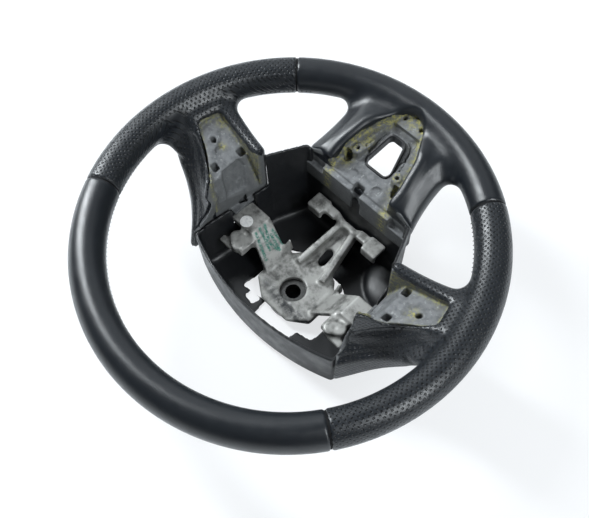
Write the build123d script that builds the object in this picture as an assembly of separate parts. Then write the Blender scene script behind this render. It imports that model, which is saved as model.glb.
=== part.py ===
"""Leather wrapped car steering wheel with its airbag module taken out, in millimetres.

The origin is on the steering axis at the seat of the centre bolt, where the bore opens.
Z points along the axis to the driver, Y to twelve o'clock and X to the driver's right.
The builders below count heights from the driver's face of the hub plate.
"""
import os
from math import cos, degrees, hypot, radians, sin

from build123d import *

# Rim: outside size, grip section and the height of its plane above the hub face
RIM_DIAMETER = 378.0
GRIP_WIDTH = 32.0
GRIP_DEPTH = 35.5
DISH = 112.0
CORE_DIAMETER = 13.0

# Leather: thickness, glue under it, gap at a seam and the four seam angles counted from six o'clock
LEATHER = 1.4
GLUE_LINE = 0.1
SEAM_GAP = 0.6
SEAM_TOP_RIGHT = 118.7
SEAM_TOP_LEFT = 124.7
SEAM_LOW_RIGHT = 42.9
SEAM_LOW_LEFT = 38.2

# Rear cover: plan corners, heights of its edges, wall and floor
COVER_SIDE_X = 94.0
COVER_SIDE_Y = 41.0
COVER_TOP_Y = 59.0
COVER_CHEEK_X = 81.0
COVER_CHEEK_Y = -50.0
COVER_LOW_X = 65.0
COVER_LOW_Y = -88.0
COVER_WALL = 2.6
COVER_BOTTOM = -17.0
COVER_DRAFT = 2.5
COVER_CORNER = 4.0
COVER_FOOT_RADIUS = 9.0
COVER_NEAR_DROP = 65.0
COVER_SIDE_DROP = 62.0
COVER_CHEEK_DROP = 12.0
COVER_CHEEK_FALL = 7.0
COVER_LOW_DROP = 43.0
COVER_FIT = 0.5
COLUMN_OPENING_WIDTH = 94.0
COLUMN_OPENING_DEPTH = 82.0
CLIP_LOOP_X = 19.0
CLIP_LOOP_WIDTH = 13.0
CLIP_LOOP_REACH = 11.0
CLIP_LOOP_BAR = 2.4

# Side spokes: plan points of the root and heights from the rim plane at the hub, the root and the rim
SPOKE_ROOT_LOW = (131.0, -61.0)
SPOKE_ROOT_HIGH = (140.0, 8.0)
SPOKE_RIM_LOW_ANGLE = 67.0
SPOKE_RIM_HIGH_ANGLE = 93.0
SPOKE_AXIS_ANGLE = 80.0
SPOKE_HUB_FRONT = -7.0
SPOKE_HUB_RIDGE = -3.0
SPOKE_HUB_CREASE = -62.0
SPOKE_HUB_BACK = -95.0
SPOKE_ROOT_FRONT = -2.0
SPOKE_ROOT_CREASE = -30.0
SPOKE_ROOT_BACK = -46.0
SPOKE_RIDGE_HUB = 0.71
SPOKE_RIDGE_ROOT = 0.60
SPOKE_SCOOP = 5.0
SPOKE_HUB_FLARE = 4.0
SPOKE_ROOT_TUCK = 5.0
SPOKE_RIM_TUCK = 2.0
SPOKE_EDGE_RADIUS = 6.0
SPOKE_HUB_SIZE = 1.0
SPOKE_ROOT_SIZE = 0.8
SPOKE_RIM_SIZE = 0.4

# Side spoke panel: the recess that holds the switch pack, with sockets placed inwards and round from its apex
PANEL_APEX_RADIUS = 148.0
PANEL_APEX_ANGLE = 76.0
PANEL_APEX_HALF = 4.5
PANEL_STRIP_LOW = 11.0
PANEL_STRIP_HIGH = 4.0
PANEL_RIM_DEPTH = 7.0
PANEL_BEND_DEPTH = 22.0
PANEL_BEND_RUN = 18.0
PANEL_FOOT_DEPTH = 66.0
CLIP_SLOT = 7.5
DIMPLE_DIAMETER = 10.0
PANEL_HOLE_DIAMETER = 6.0
PANEL_HOLE_INSET = (18.0, 3.0)
PANEL_DIMPLE_INSET = (30.0, 3.0)
LOW_SLOT_INSET = (38.0, -6.0)
HIGH_SLOT_INSET = (40.0, 10.0)
SOCKET_DEPTH = 9.0
DIMPLE_DEPTH = 1.5

# Lower spoke: legs, recess and window
LOWER_ROOT_X = 58.0
LOWER_ROOT_Y = -140.0
LOWER_RIM_X = 61.0
LOWER_HUB_FRONT = -15.0
LOWER_HUB_BACK = -47.0
LOWER_ROOT_FRONT = 6.0
LOWER_ROOT_BACK = -24.0
LOWER_EDGE_RADIUS = 8.0
LOWER_SHOULDER = 14.0
LOWER_FALL = 3.0
LOWER_HUB_SIZE = 1.0
LOWER_ROOT_SIZE = 0.9
LOWER_RIM_SIZE = 0.6
RECESS_HALF_HUB = 34.5
RECESS_HALF_MID = 28.5
RECESS_HALF_APEX = 12.5
RECESS_HUB_Y = -77.5
RECESS_MID_Y = -131.0
RECESS_APEX_Y = -160.0
RECESS_TIP_Y = -168.0
LEDGE_HUB_DEPTH = 23.0
LEDGE_TIP_DEPTH = -3.0
PLATFORM_HUB_DEPTH = 31.0
PLATFORM_LOW_DEPTH = 23.0
PLATFORM_TOP_DEPTH = 5.0
PLATFORM_END_Y = -103.0
POCKET_HALF_LOW = 20.0
POCKET_LOW_Y = -109.0
POCKET_HALF_TOP = 12.0
POCKET_TOP_Y = -147.0
NOTCH_HALF = 5.5
NOTCH_END_Y = -93.0
BOSS_HOLE_SPOT = (24.0, -113.0)
APEX_HOLE_SPOT = (10.0, -160.0)
PLATFORM_DIMPLE_SPOT = (14.5, -96.0)
CAVITY_SPOT = (29.5, -106.5)
PILOT_DIAMETER = 4.0
CAVITY_LENGTH = 11.0
CAVITY_WIDTH = 8.0
WINDOW_HALF_TOP = 7.5
WINDOW_HALF_LOW = 15.0
WINDOW_TOP_Y = -141.0
WINDOW_LOW_Y = -111.0
WINDOW_CORNER = 5.5
LINER_WALL = 1.8
LINER_PROUD = 0.8
LINER_DEPTH = 8.0
WINDOW_FLARE = 8.0

# Armature: hub plate, arms, fork and hooks
PLATE_HALF_WIDTH = 36.0
PLATE_TOP_Y = 27.0
PLATE_LOW_Y = -36.0
PLATE_THICKNESS = 8.0
BOSS_DIAMETER = 52.0
BOSS_LENGTH = 16.5
COUNTERBORE_DIAMETER = 26.0
COUNTERBORE_DEPTH = 6.0
BORE_DIAMETER = 15.4
INSERT_DIAMETER = 36.0
ARM_HEIGHT = 32.0
ARM_WIDTH = 26.0
ARM_THICKNESS = 9.0
ARM_CENTRE_Y = -16.0
ARM_ROOT_X = 28.8
ARM_ROOT_WIDTH = 29.9
PAD_INNER_X = 60.0
PAD_OUTER_X = 88.0
OVAL_X = 66.0
OVAL_Y = 10.0
OVAL_LENGTH = 22.0
OVAL_WIDTH = 13.0
OVAL_HEIGHT = 30.0
OVAL_TURN = -35.0
OVAL_HOLE_DIAMETER = 3.7
BRIDGE_TOP_DROP = 3.0
BRIDGE_LOW_DROP = 12.0
EAR_LENGTH = 15.4
EAR_NEAR = 3.2
EAR_FAR = 10.4
FIN_HEIGHT = 17.0
FIN_LENGTH = 22.0
FIN_THICKNESS = 3.0
RAIL_BASE_X = 16.0
RAIL_BASE_Y = -25.2
RAIL_TOP_X = 8.0
RAIL_TOP_Y = -78.0
RAIL_WIDTH = 6.5
RAIL_HEIGHT = 15.0
WEB_THICKNESS = 3.5
WEB_HOLE_LENGTH = 18.0
WEB_HOLE_WIDTH = 9.0
WEB_HOLE_Y = -46.0
FORK_RISE = 18.0
HOOK_X = 36.0
HOOK_Y = -73.9
HOOK_SIZE = 18.0
HOOK_HEIGHT = 35.0
HOOK_THICKNESS = 4.0
HOOK_LIP = 12.0
ROD_WIDTH = 9.0
ROD_THICKNESS = 7.0

# Fasteners and the inspection sticker
SCREW_X = 74.0
SCREW_GRIP = 6.0
SCREW_SHANK = 4.5
SCREW_HEAD = 8.5
SCREW_HEAD_HEIGHT = 3.0
SCREW_SINK = 0.6
COVER_BOSS = 12.0
STICKER_DIAMETER = 13.0
STICKER_THICKNESS = 0.3

# Sizes that follow from the ones above
RIM_RADIUS = (RIM_DIAMETER - GRIP_WIDTH) / 2
REACH = RIM_DIAMETER
FOAM_INSET = LEATHER + GLUE_LINE
COVER_TALL = DISH + GRIP_DEPTH
SIDES = (1, -1)
FOOT_STEPS = 4
ARM_UNDERSIDE = ARM_HEIGHT - ARM_THICKNESS
SPOKE_RIM_FRONT = GRIP_DEPTH / 4
SPOKE_RIM_CREASE = -GRIP_DEPTH / 12
SPOKE_RIM_BACK = -GRIP_DEPTH / 3
COLUMN_OPENING_CORNER = COLUMN_OPENING_DEPTH / 3
PLATE_NECK_HALF = BOSS_DIAMETER / 3
LOW_BLOCK_HALF = COVER_LOW_X - COVER_CORNER - 2 * COVER_FIT


def polar(radius, angle):
    """Return the plan point at a radius and an angle counted from six o'clock to the right."""
    return (radius * sin(radians(angle)), -radius * cos(radians(angle)))


def between(start, end, part):
    """Return the point that lies a given part of the way from start to end."""
    return tuple(a + (b - a) * part for a, b in zip(start, end))


def mirrored(shape):
    """Return the driver's left hand copy of a right hand shape."""
    return mirror(shape, about=Plane.YZ)


def inset(points, distance):
    """Return a convex counter-clockwise polygon moved inwards by a distance."""
    count = len(points)
    lines = []
    for i in range(count):
        (x0, y0), (x1, y1) = points[i], points[(i + 1) % count]
        length = hypot(x1 - x0, y1 - y0)
        normal = (-(y1 - y0) / length, (x1 - x0) / length)
        lines.append(((x0 + normal[0] * distance, y0 + normal[1] * distance), (x1 - x0, y1 - y0)))
    moved = []
    for i in range(count):
        (p, d), (q, e) = lines[i - 1], lines[i]
        cross = d[0] * e[1] - d[1] * e[0]
        along = ((q[0] - p[0]) * e[1] - (q[1] - p[1]) * e[0]) / cross
        moved.append((p[0] + d[0] * along, p[1] + d[1] * along))
    return moved


def rounded(points, radius):
    """Return a closed polygon face with rounded corners."""
    face = make_face(Polyline(*points, close=True))
    return fillet(face.vertices(), radius)


def prism(points, low, high, radius=0.0):
    """Return an upright prism over a plan polygon between two heights."""
    face = rounded(points, radius) if radius else make_face(Polyline(*points, close=True))
    return extrude(Pos(0, 0, low) * face, high - low, dir=(0, 0, 1))


def block(x_range, y_range, z_range):
    """Return a box given by its limits along the three axes."""
    size = [high - low for low, high in (x_range, y_range, z_range)]
    middle = [(high + low) / 2 for low, high in (x_range, y_range, z_range)]
    return Pos(*middle) * Box(*size)


def bar(start, end, width, thickness):
    """Return a straight bar of rectangular section with its width kept level."""
    axis = Vector(*end) - Vector(*start)
    level = Vector(0, 0, 1).cross(axis).normalized()
    plane = Plane(origin=start, x_dir=level, z_dir=axis)
    return extrude(plane * Rectangle(width, thickness), axis.length)


def limb(points, width, thickness):
    """Return a chain of straight bars through a list of points, lapped at each bend."""
    chain = None
    for start, end in zip(points, points[1:]):
        axis = Vector(*end) - Vector(*start)
        lap = axis.normalized() * (thickness / 2)
        link = bar(tuple(Vector(*start) - lap), tuple(Vector(*end) + lap), width, thickness)
        chain = link if chain is None else chain + link
    return chain


def rim_arc(first, last, shrink):
    """Return the grip of the rim between two angles from six o'clock, made smaller by shrink."""
    section = Plane.XZ * Pos(RIM_RADIUS, DISH) * Ellipse(GRIP_WIDTH / 2 - shrink, GRIP_DEPTH / 2 - shrink)
    return Rot(0, 0, first - 90) * revolve(section, Axis.Z, last - first)


def upright_plane(start, end):
    """Return the vertical plane through two plan points, with its x axis from start to end."""
    run = (end[0] - start[0], end[1] - start[1], 0)
    return Plane(origin=(start[0], start[1], DISH), x_dir=run, z_dir=(run[1], -run[0], 0))


def spoke_section(start, end, profile, shrink, radius):
    """Return one rounded section of a spoke, drawn in the upright plane of two plan points."""
    return upright_plane(start, end) * rounded(inset(profile, shrink), radius - shrink)


def side_spoke(shrink):
    """Return the wrapped envelope of the right hand spoke, made smaller by shrink."""
    hub = ((COVER_CHEEK_X + COVER_FIT, COVER_CHEEK_Y), (COVER_SIDE_X + COVER_FIT, COVER_SIDE_Y))
    root = (SPOKE_ROOT_LOW, SPOKE_ROOT_HIGH)
    rim = (polar(RIM_RADIUS, SPOKE_RIM_LOW_ANGLE), polar(RIM_RADIUS, SPOKE_RIM_HIGH_ANGLE))
    rows = (
        (hub, SPOKE_HUB_FRONT, SPOKE_HUB_RIDGE, SPOKE_HUB_CREASE, SPOKE_HUB_BACK, SPOKE_RIDGE_HUB,
         -SPOKE_HUB_FLARE, SPOKE_HUB_SIZE),
        (root, SPOKE_ROOT_FRONT, SPOKE_ROOT_FRONT, SPOKE_ROOT_CREASE, SPOKE_ROOT_BACK, SPOKE_RIDGE_ROOT,
         SPOKE_ROOT_TUCK, SPOKE_ROOT_SIZE),
        (rim, SPOKE_RIM_FRONT, SPOKE_RIM_FRONT, SPOKE_RIM_CREASE, SPOKE_RIM_BACK, SPOKE_RIDGE_ROOT,
         SPOKE_RIM_TUCK, SPOKE_RIM_SIZE),
    )
    sections = []
    for (start, end), front, ridge, crease, back, part, tuck, size in rows:
        width = hypot(end[0] - start[0], end[1] - start[1])
        scoop = between((width, crease), (width * part, ridge), 0.5)
        scoop = (scoop[0] - SPOKE_SCOOP * size, scoop[1] - SPOKE_SCOOP * size / 2)
        profile = ((0, back), (width - tuck, back), (width, crease), scoop, (width * part, ridge), (0, front))
        sections.append(spoke_section(start, end, profile, shrink, SPOKE_EDGE_RADIUS * size))
    return loft(sections)


def lower_spoke(shrink):
    """Return the wrapped envelope of the lower spoke, made smaller by shrink."""
    hub_y = COVER_LOW_Y - COVER_FIT
    rim_y = -RIM_RADIUS * cos(radians(SEAM_LOW_LEFT / 2))
    rows = (
        (COVER_LOW_X, hub_y, LOWER_HUB_FRONT, LOWER_HUB_BACK, LOWER_HUB_SIZE),
        (LOWER_ROOT_X, LOWER_ROOT_Y, LOWER_ROOT_FRONT, LOWER_ROOT_BACK, LOWER_ROOT_SIZE),
        (LOWER_RIM_X, rim_y, SPOKE_RIM_FRONT, SPOKE_RIM_BACK, LOWER_RIM_SIZE),
    )
    sections = []
    for half, y, front, back, size in rows:
        fall = front - (front - back) / LOWER_FALL
        profile = ((0, back), (2 * half, back), (2 * half, fall), (2 * half - LOWER_SHOULDER, front),
                   (LOWER_SHOULDER, front), (0, fall))
        sections.append(spoke_section((-half, y), (half, y), profile, shrink, LOWER_EDGE_RADIUS * size))
    return loft(sections)


def panel_outline():
    """Return the plan outline of the right hand panel recess."""
    hub_low = (COVER_CHEEK_X, COVER_CHEEK_Y + PANEL_STRIP_LOW)
    ridge = between((COVER_CHEEK_X, COVER_CHEEK_Y), (COVER_SIDE_X, COVER_SIDE_Y), SPOKE_RIDGE_HUB)
    hub_high = (ridge[0], ridge[1] - PANEL_STRIP_HIGH)
    apex_low = polar(PANEL_APEX_RADIUS, PANEL_APEX_ANGLE - PANEL_APEX_HALF)
    apex_high = polar(PANEL_APEX_RADIUS, PANEL_APEX_ANGLE + PANEL_APEX_HALF)
    inside = (PAD_INNER_X, hub_high[1])
    return ((PAD_INNER_X, hub_low[1]), hub_low, apex_low, apex_high, hub_high, inside)


def panel_floor():
    """Return the points of the panel floor, seen from the side, as distances out and heights."""
    apex = polar(PANEL_APEX_RADIUS, PANEL_APEX_ANGLE)[0]
    foot = COVER_CHEEK_X
    return (
        (apex, DISH - PANEL_RIM_DEPTH),
        (foot + PANEL_BEND_RUN, DISH - PANEL_BEND_DEPTH),
        (foot, DISH - PANEL_FOOT_DEPTH),
    )


def panel_recess():
    """Return the body cut out above the right hand panel floor."""
    apex, bend, foot = panel_floor()
    top = DISH + GRIP_DEPTH
    profile = (apex, (apex[0], top), (PAD_INNER_X, top), (PAD_INNER_X, foot[1]), foot, bend)
    side_view = Plane.XZ * make_face(Polyline(*profile, close=True))
    slab = extrude(side_view, REACH / 2, both=True)
    return slab & prism(panel_outline(), 0, top)


def floor_height(x):
    """Return the height of the panel floor at a distance out from the axis."""
    apex, bend, foot = panel_floor()
    first, last = (bend, apex) if x > bend[0] else (foot, bend)
    return first[1] + (last[1] - first[1]) * (x - first[0]) / (last[0] - first[0])


def panel_spot(place):
    """Return the plan point of a place given as a distance inwards and an angle from the panel's apex."""
    return polar(PANEL_APEX_RADIUS - place[0], PANEL_APEX_ANGLE + place[1])


def panel_sockets():
    """Return the holes, dimple and clip slots sunk in the right hand panel."""
    hole = panel_spot(PANEL_HOLE_INSET)
    dimple = panel_spot(PANEL_DIMPLE_INSET)
    low_slot = panel_spot(LOW_SLOT_INSET)
    high_slot = panel_spot(HIGH_SLOT_INSET)
    bottom = floor_height(hole[0]) - SOCKET_DEPTH
    cuts = extrude(Pos(hole[0], hole[1], bottom) * Circle(PANEL_HOLE_DIAMETER / 2), 2 * SOCKET_DEPTH)
    shallow = floor_height(dimple[0]) - DIMPLE_DEPTH
    cuts += extrude(Pos(dimple[0], dimple[1], shallow) * Circle(DIMPLE_DIAMETER / 2), SOCKET_DEPTH)
    for spot in (low_slot, high_slot):
        deep = floor_height(spot[0]) - SOCKET_DEPTH
        cuts += extrude(Pos(spot[0], spot[1], deep) * Rectangle(CLIP_SLOT, CLIP_SLOT), 2 * SOCKET_DEPTH)
    return cuts


def below_line(points):
    """Return the wide body under a line of points, given as places along Y and heights."""
    outline = (*points, (points[-1][0], 0), (points[0][0], 0))
    return extrude(Plane.YZ * make_face(Polyline(*outline, close=True)), REACH / 2, both=True)


def above_line(points, plan):
    """Return the body over a line of points, given along Y, that lies inside a plan outline."""
    top = DISH + GRIP_DEPTH
    outline = (*points, (points[-1][0], top), (points[0][0], top))
    slab = extrude(Plane.YZ * make_face(Polyline(*outline, close=True)), REACH / 2, both=True)
    return slab & prism(plan, 0, top)


def ledge_line():
    """Return the two ends of the ledge under the leather's edge."""
    return ((RECESS_HUB_Y, DISH - LEDGE_HUB_DEPTH), (RECESS_TIP_Y, DISH - LEDGE_TIP_DEPTH))


def platform_line():
    """Return the points of the platform that runs from the hub down to the window's far end."""
    return (
        (RECESS_HUB_Y, DISH - PLATFORM_HUB_DEPTH), (WINDOW_LOW_Y, DISH - PLATFORM_LOW_DEPTH),
        (WINDOW_TOP_Y, DISH - PLATFORM_TOP_DEPTH), (RECESS_APEX_Y, DISH - PLATFORM_TOP_DEPTH),
    )


def line_height(points, y):
    """Return the height of a line of points at a place along Y."""
    for (y0, z0), (y1, z1) in zip(points, points[1:]):
        if y >= y1:
            return z0 + (z1 - z0) * (y - y0) / (y1 - y0)
    return points[-1][1]


def both_sides(half_outline):
    """Return a closed plan outline from its right hand half, which runs from the hub to the rim."""
    return (*half_outline, *((-x, y) for x, y in reversed(half_outline) if x))


def lower_recess():
    """Return the body cut out of the lower spoke, down to its ledge and its platform."""
    edge = ((RECESS_HALF_HUB, RECESS_HUB_Y), (RECESS_HALF_HUB, PLATFORM_END_Y), (RECESS_HALF_MID, RECESS_MID_Y),
            (RECESS_HALF_APEX, RECESS_APEX_Y), (0, RECESS_TIP_Y))
    pocket = ((RECESS_HALF_HUB, RECESS_HUB_Y), (RECESS_HALF_HUB, PLATFORM_END_Y), (POCKET_HALF_LOW, POCKET_LOW_Y),
              (POCKET_HALF_TOP, POCKET_TOP_Y))
    return above_line(ledge_line(), both_sides(edge)) + above_line(platform_line(), both_sides(pocket))


def window(grow):
    """Return the plan outline of the lower spoke's window, made larger by grow."""
    outline = (
        (-WINDOW_HALF_TOP - grow, WINDOW_TOP_Y - grow), (WINDOW_HALF_TOP + grow, WINDOW_TOP_Y - grow),
        (WINDOW_HALF_LOW + grow, WINDOW_LOW_Y + grow), (-WINDOW_HALF_LOW - grow, WINDOW_LOW_Y + grow),
    )
    return rounded(outline, WINDOW_CORNER + grow)


def window_hole():
    """Return the window cut through foam and leather, wider below the foot of its liner."""
    flare = upright(window(LINER_WALL + WINDOW_FLARE), 0, DISH) & (Pos(0, 0, -LINER_DEPTH) * below_line(platform_line()))
    return upright(window(LINER_WALL), 0, DISH + GRIP_DEPTH) + flare


def apron():
    """Return the foam that flows over the end of the right hand arm inside the cover's notch."""
    half = ARM_WIDTH / 2 - COVER_FIT
    return block((PAD_OUTER_X - ROD_THICKNESS - COVER_FIT, PAD_OUTER_X + ROD_THICKNESS),
                 (ARM_CENTRE_Y - half, ARM_CENTRE_Y + half), (ARM_HEIGHT + COVER_FIT, DISH - PANEL_FOOT_DEPTH))


def upright(face, low, high):
    """Return a plan face raised to a solid between two heights."""
    return extrude(Pos(0, 0, low) * face, high - low, dir=(0, 0, 1))


def lower_sockets():
    """Return the screw holes, dimples, cavities and notch sunk in the foam of the lower spoke."""
    cuts = [block((-NOTCH_HALF, NOTCH_HALF), (NOTCH_END_Y, RECESS_HUB_Y), (0, DISH))]
    for side in SIDES:
        for x, y in (BOSS_HOLE_SPOT, APEX_HOLE_SPOT):
            spot = Pos(side * x, y, line_height(ledge_line(), y) - SOCKET_DEPTH)
            cuts.append(extrude(spot * Circle(PILOT_DIAMETER / 2), 2 * SOCKET_DEPTH))
        x, y = PLATFORM_DIMPLE_SPOT
        spot = Pos(side * x, y, line_height(platform_line(), y) - DIMPLE_DEPTH)
        cuts.append(extrude(spot * Circle(DIMPLE_DIAMETER / 2), SOCKET_DEPTH))
        x, y = CAVITY_SPOT
        spot = Pos(side * x, y, line_height(platform_line(), y) - SOCKET_DEPTH)
        cuts.append(extrude(spot * Ellipse(CAVITY_WIDTH / 2, CAVITY_LENGTH / 2), 2 * SOCKET_DEPTH))
    return cuts


def build_armature():
    """Return the cast armature: hub plate, arms, fork and hooks."""
    plate_plan = (
        (-PLATE_HALF_WIDTH, PLATE_LOW_Y / 2), (-RAIL_BASE_X - RAIL_WIDTH, PLATE_LOW_Y),
        (RAIL_BASE_X + RAIL_WIDTH, PLATE_LOW_Y), (PLATE_HALF_WIDTH, PLATE_LOW_Y / 2),
        (PLATE_HALF_WIDTH, PLATE_TOP_Y / 2), (PLATE_NECK_HALF, PLATE_TOP_Y),
        (-PLATE_NECK_HALF, PLATE_TOP_Y), (-PLATE_HALF_WIDTH, PLATE_TOP_Y / 2),
    )
    body = prism(plate_plan, -PLATE_THICKNESS, 0, RAIL_WIDTH / 2)
    body += extrude(Pos(0, 0, -BOSS_LENGTH) * Circle(BOSS_DIAMETER / 2), BOSS_LENGTH - PLATE_THICKNESS / 2)
    ramp = ((BOSS_DIAMETER / 4, 0), (PLATE_TOP_Y * 2, 0), (PLATE_TOP_Y * 2, -BOSS_LENGTH))
    body -= extrude(Plane.YZ * make_face(Polyline(*ramp, close=True)), REACH / 2, both=True)
    for side in SIDES:
        wing = side_arm() + rail_and_hook()
        body += wing if side > 0 else mirrored(wing)
    body += block((-RAIL_TOP_X - RAIL_WIDTH / 2, RAIL_TOP_X + RAIL_WIDTH / 2),
                  (RAIL_TOP_Y - RAIL_WIDTH / 2, RAIL_TOP_Y + RAIL_WIDTH / 2),
                  (FORK_RISE - RAIL_HEIGHT / 2, FORK_RISE + RAIL_HEIGHT / 2))
    web_root = (0, PLATE_LOW_Y + RAIL_WIDTH, -PLATE_THICKNESS / 2)
    body += bar(web_root, (0, RAIL_TOP_Y, FORK_RISE - RAIL_HEIGHT / 4), 2 * RAIL_TOP_X, WEB_THICKNESS)
    hole = Pos(0, WEB_HOLE_Y, -DISH) * Rot(0, 0, 90) * SlotOverall(WEB_HOLE_LENGTH, WEB_HOLE_WIDTH)
    body -= extrude(hole, 2 * DISH)
    body -= rim_core(GLUE_LINE)
    body -= extrude(Pos(0, 0, -COUNTERBORE_DEPTH) * Circle(COUNTERBORE_DIAMETER / 2), DISH)
    body -= extrude(Pos(0, 0, -BOSS_LENGTH) * Circle(INSERT_DIAMETER / 2), BOSS_LENGTH - COUNTERBORE_DEPTH)
    return body


def rim_core(grow):
    """Return the round steel core of the rim, made larger by grow."""
    return Pos(0, 0, DISH) * Torus(RIM_RADIUS, CORE_DIAMETER / 2 + grow)


def side_arm():
    """Return the right hand arm from the hub plate to the core of the rim."""
    root = Pos(ARM_ROOT_X, ARM_CENTRE_Y / 2, -PLATE_THICKNESS / 2)
    tip = Pos(PAD_INNER_X, ARM_CENTRE_Y, ARM_HEIGHT - ARM_THICKNESS / 2)
    arm = loft([
        Plane.YZ.offset(root.position.X) * Pos(root.position.Y, root.position.Z)
        * Rectangle(ARM_ROOT_WIDTH, PLATE_THICKNESS),
        Plane.YZ.offset(tip.position.X) * Pos(tip.position.Y, tip.position.Z)
        * Rectangle(ARM_WIDTH, ARM_THICKNESS),
    ], ruled=True)
    half = ARM_WIDTH / 2
    arm += block((PAD_INNER_X, PAD_OUTER_X), (ARM_CENTRE_Y - half, ARM_CENTRE_Y + half),
                 (ARM_HEIGHT - ARM_THICKNESS, ARM_HEIGHT))
    arm += block((PAD_INNER_X - RAIL_WIDTH, PAD_INNER_X + OVAL_WIDTH / 2), (ARM_CENTRE_Y, OVAL_Y + OVAL_WIDTH / 2),
                 (OVAL_HEIGHT - BRIDGE_LOW_DROP, OVAL_HEIGHT - BRIDGE_TOP_DROP))
    base = Pos(OVAL_X, OVAL_Y, OVAL_HEIGHT - ARM_THICKNESS)
    oval = base * Rot(0, 0, OVAL_TURN) * SlotOverall(OVAL_LENGTH, OVAL_WIDTH)
    arm += extrude(oval, ARM_THICKNESS)
    arm -= extrude(Pos(OVAL_X, OVAL_Y, OVAL_HEIGHT - ARM_THICKNESS / 2) * Circle(OVAL_HOLE_DIAMETER / 2), ARM_THICKNESS)
    arm += block((OVAL_X, OVAL_X + EAR_LENGTH), (OVAL_Y + EAR_NEAR, OVAL_Y + EAR_FAR),
                 (OVAL_HEIGHT - ARM_THICKNESS, OVAL_HEIGHT - ARM_THICKNESS / 2))
    foot = (PAD_OUTER_X - ROD_THICKNESS, ARM_CENTRE_Y, ARM_HEIGHT - ARM_THICKNESS / 2)
    far = polar(RIM_RADIUS, SPOKE_AXIS_ANGLE)
    knee = (PAD_OUTER_X + ROD_WIDTH, (foot[1] + far[1]) / 2, (foot[2] + DISH) / 2)
    shin = (far[0] - GRIP_WIDTH, far[1], DISH + SPOKE_ROOT_BACK / 2)
    arm += limb((foot, knee, shin, (far[0], far[1], DISH)), ROD_WIDTH, ROD_THICKNESS)
    arm -= extrude(Pos(SCREW_X, ARM_CENTRE_Y, ARM_UNDERSIDE) * Circle(SCREW_SHANK / 2), SCREW_GRIP)
    fin_x = PLATE_HALF_WIDTH - FIN_THICKNESS
    fin = ((PLATE_LOW_Y / 4, -PLATE_THICKNESS / 2), (PLATE_LOW_Y / 4 - FIN_LENGTH, FIN_HEIGHT),
           (PLATE_LOW_Y / 4 - FIN_LENGTH - FIN_THICKNESS, -PLATE_THICKNESS / 2))
    arm += extrude(Plane.YZ.offset(fin_x) * make_face(Polyline(*fin, close=True)), FIN_THICKNESS)
    return arm


def rail_and_hook():
    """Return the right hand rail of the fork with the hook that holds the airbag."""
    base = (RAIL_BASE_X, RAIL_BASE_Y, RAIL_HEIGHT / 2 - PLATE_THICKNESS)
    top = (RAIL_TOP_X, RAIL_TOP_Y, FORK_RISE)
    rail = bar(base, top, RAIL_WIDTH, RAIL_HEIGHT)
    elbow = (HOOK_X / 2, RAIL_TOP_Y, HOOK_HEIGHT - HOOK_THICKNESS)
    rail += bar((RAIL_TOP_X - RAIL_WIDTH / 2, RAIL_TOP_Y, FORK_RISE), elbow, RAIL_WIDTH, RAIL_WIDTH)
    half = HOOK_SIZE / 2
    rail += block((HOOK_X / 2 - RAIL_WIDTH / 2, HOOK_X), (RAIL_TOP_Y - RAIL_WIDTH / 2, RAIL_TOP_Y + RAIL_WIDTH),
                  (HOOK_HEIGHT - 2 * HOOK_THICKNESS, HOOK_HEIGHT - HOOK_THICKNESS / 2))
    pad = block((HOOK_X - half, HOOK_X + half), (HOOK_Y - half, HOOK_Y + half),
                (HOOK_HEIGHT - HOOK_THICKNESS, HOOK_HEIGHT))
    pad += block((HOOK_X - half, HOOK_X + half), (HOOK_Y + half - HOOK_THICKNESS, HOOK_Y + half),
                 (HOOK_HEIGHT - HOOK_LIP, HOOK_HEIGHT))
    return rail + fillet(pad.edges().filter_by(Axis.Z), HOOK_THICKNESS / 3)


def lower_arm():
    """Return the two thin rods inside the legs of the lower spoke, welded to the core of the rim."""
    leg_x = (RECESS_HALF_HUB + LOWER_ROOT_X) / 2
    rim_y = -RIM_RADIUS * cos(leg_x / RIM_RADIUS)
    deep = DISH + (LOWER_HUB_FRONT + LOWER_HUB_BACK) / 2
    points = ((leg_x, PLATFORM_END_Y, deep), (leg_x, RECESS_MID_Y, DISH + LOWER_ROOT_BACK / 2), (leg_x, rim_y, DISH))
    arm = limb(points, ROD_WIDTH, ROD_THICKNESS)
    return arm + mirrored(arm)


def build_insert():
    """Return the steel boss with the bore that sits on the column shaft."""
    boss = extrude(Pos(0, 0, -BOSS_LENGTH) * Circle(INSERT_DIAMETER / 2), BOSS_LENGTH - COUNTERBORE_DEPTH)
    return boss - extrude(Pos(0, 0, -BOSS_LENGTH) * Circle(BORE_DIAMETER / 2), BOSS_LENGTH)


def build_foam(armature, ring):
    """Return the grey foam moulding around the armature and the ring of the rim."""
    foam = rim_arc(0, 360, FOAM_INSET)
    right = side_spoke(FOAM_INSET)
    foam += right
    foam += mirrored(right)
    foam += lower_spoke(FOAM_INSET)
    foam += block((-LOW_BLOCK_HALF, LOW_BLOCK_HALF),
                  (COVER_LOW_Y - COVER_FIT, COVER_LOW_Y + COVER_WALL * 2),
                  (DISH - COVER_LOW_DROP + COVER_FIT, DISH - PLATFORM_HUB_DEPTH))
    foam += apron()
    foam += mirrored(apron())
    recess = panel_recess()
    sockets = panel_sockets()
    foam -= [recess, mirrored(recess), lower_recess()]
    foam -= [sockets, mirrored(sockets)]
    foam -= lower_sockets()
    foam -= window_hole()
    foam -= armature
    return foam - ring


def build_leather(first, last, spokes, shrunk_spokes, cuts):
    """Return one leather section between two seam angles, together with its spoke."""
    play = degrees(SEAM_GAP / 2 / RIM_RADIUS)
    skin = rim_arc(first + play, last - play, 0)
    core = rim_arc(first, last, LEATHER)
    for whole, shrunk in zip(spokes, shrunk_spokes):
        skin += whole
        core += shrunk
    skin -= core
    for cut in cuts:
        skin -= cut
    return skin


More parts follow.
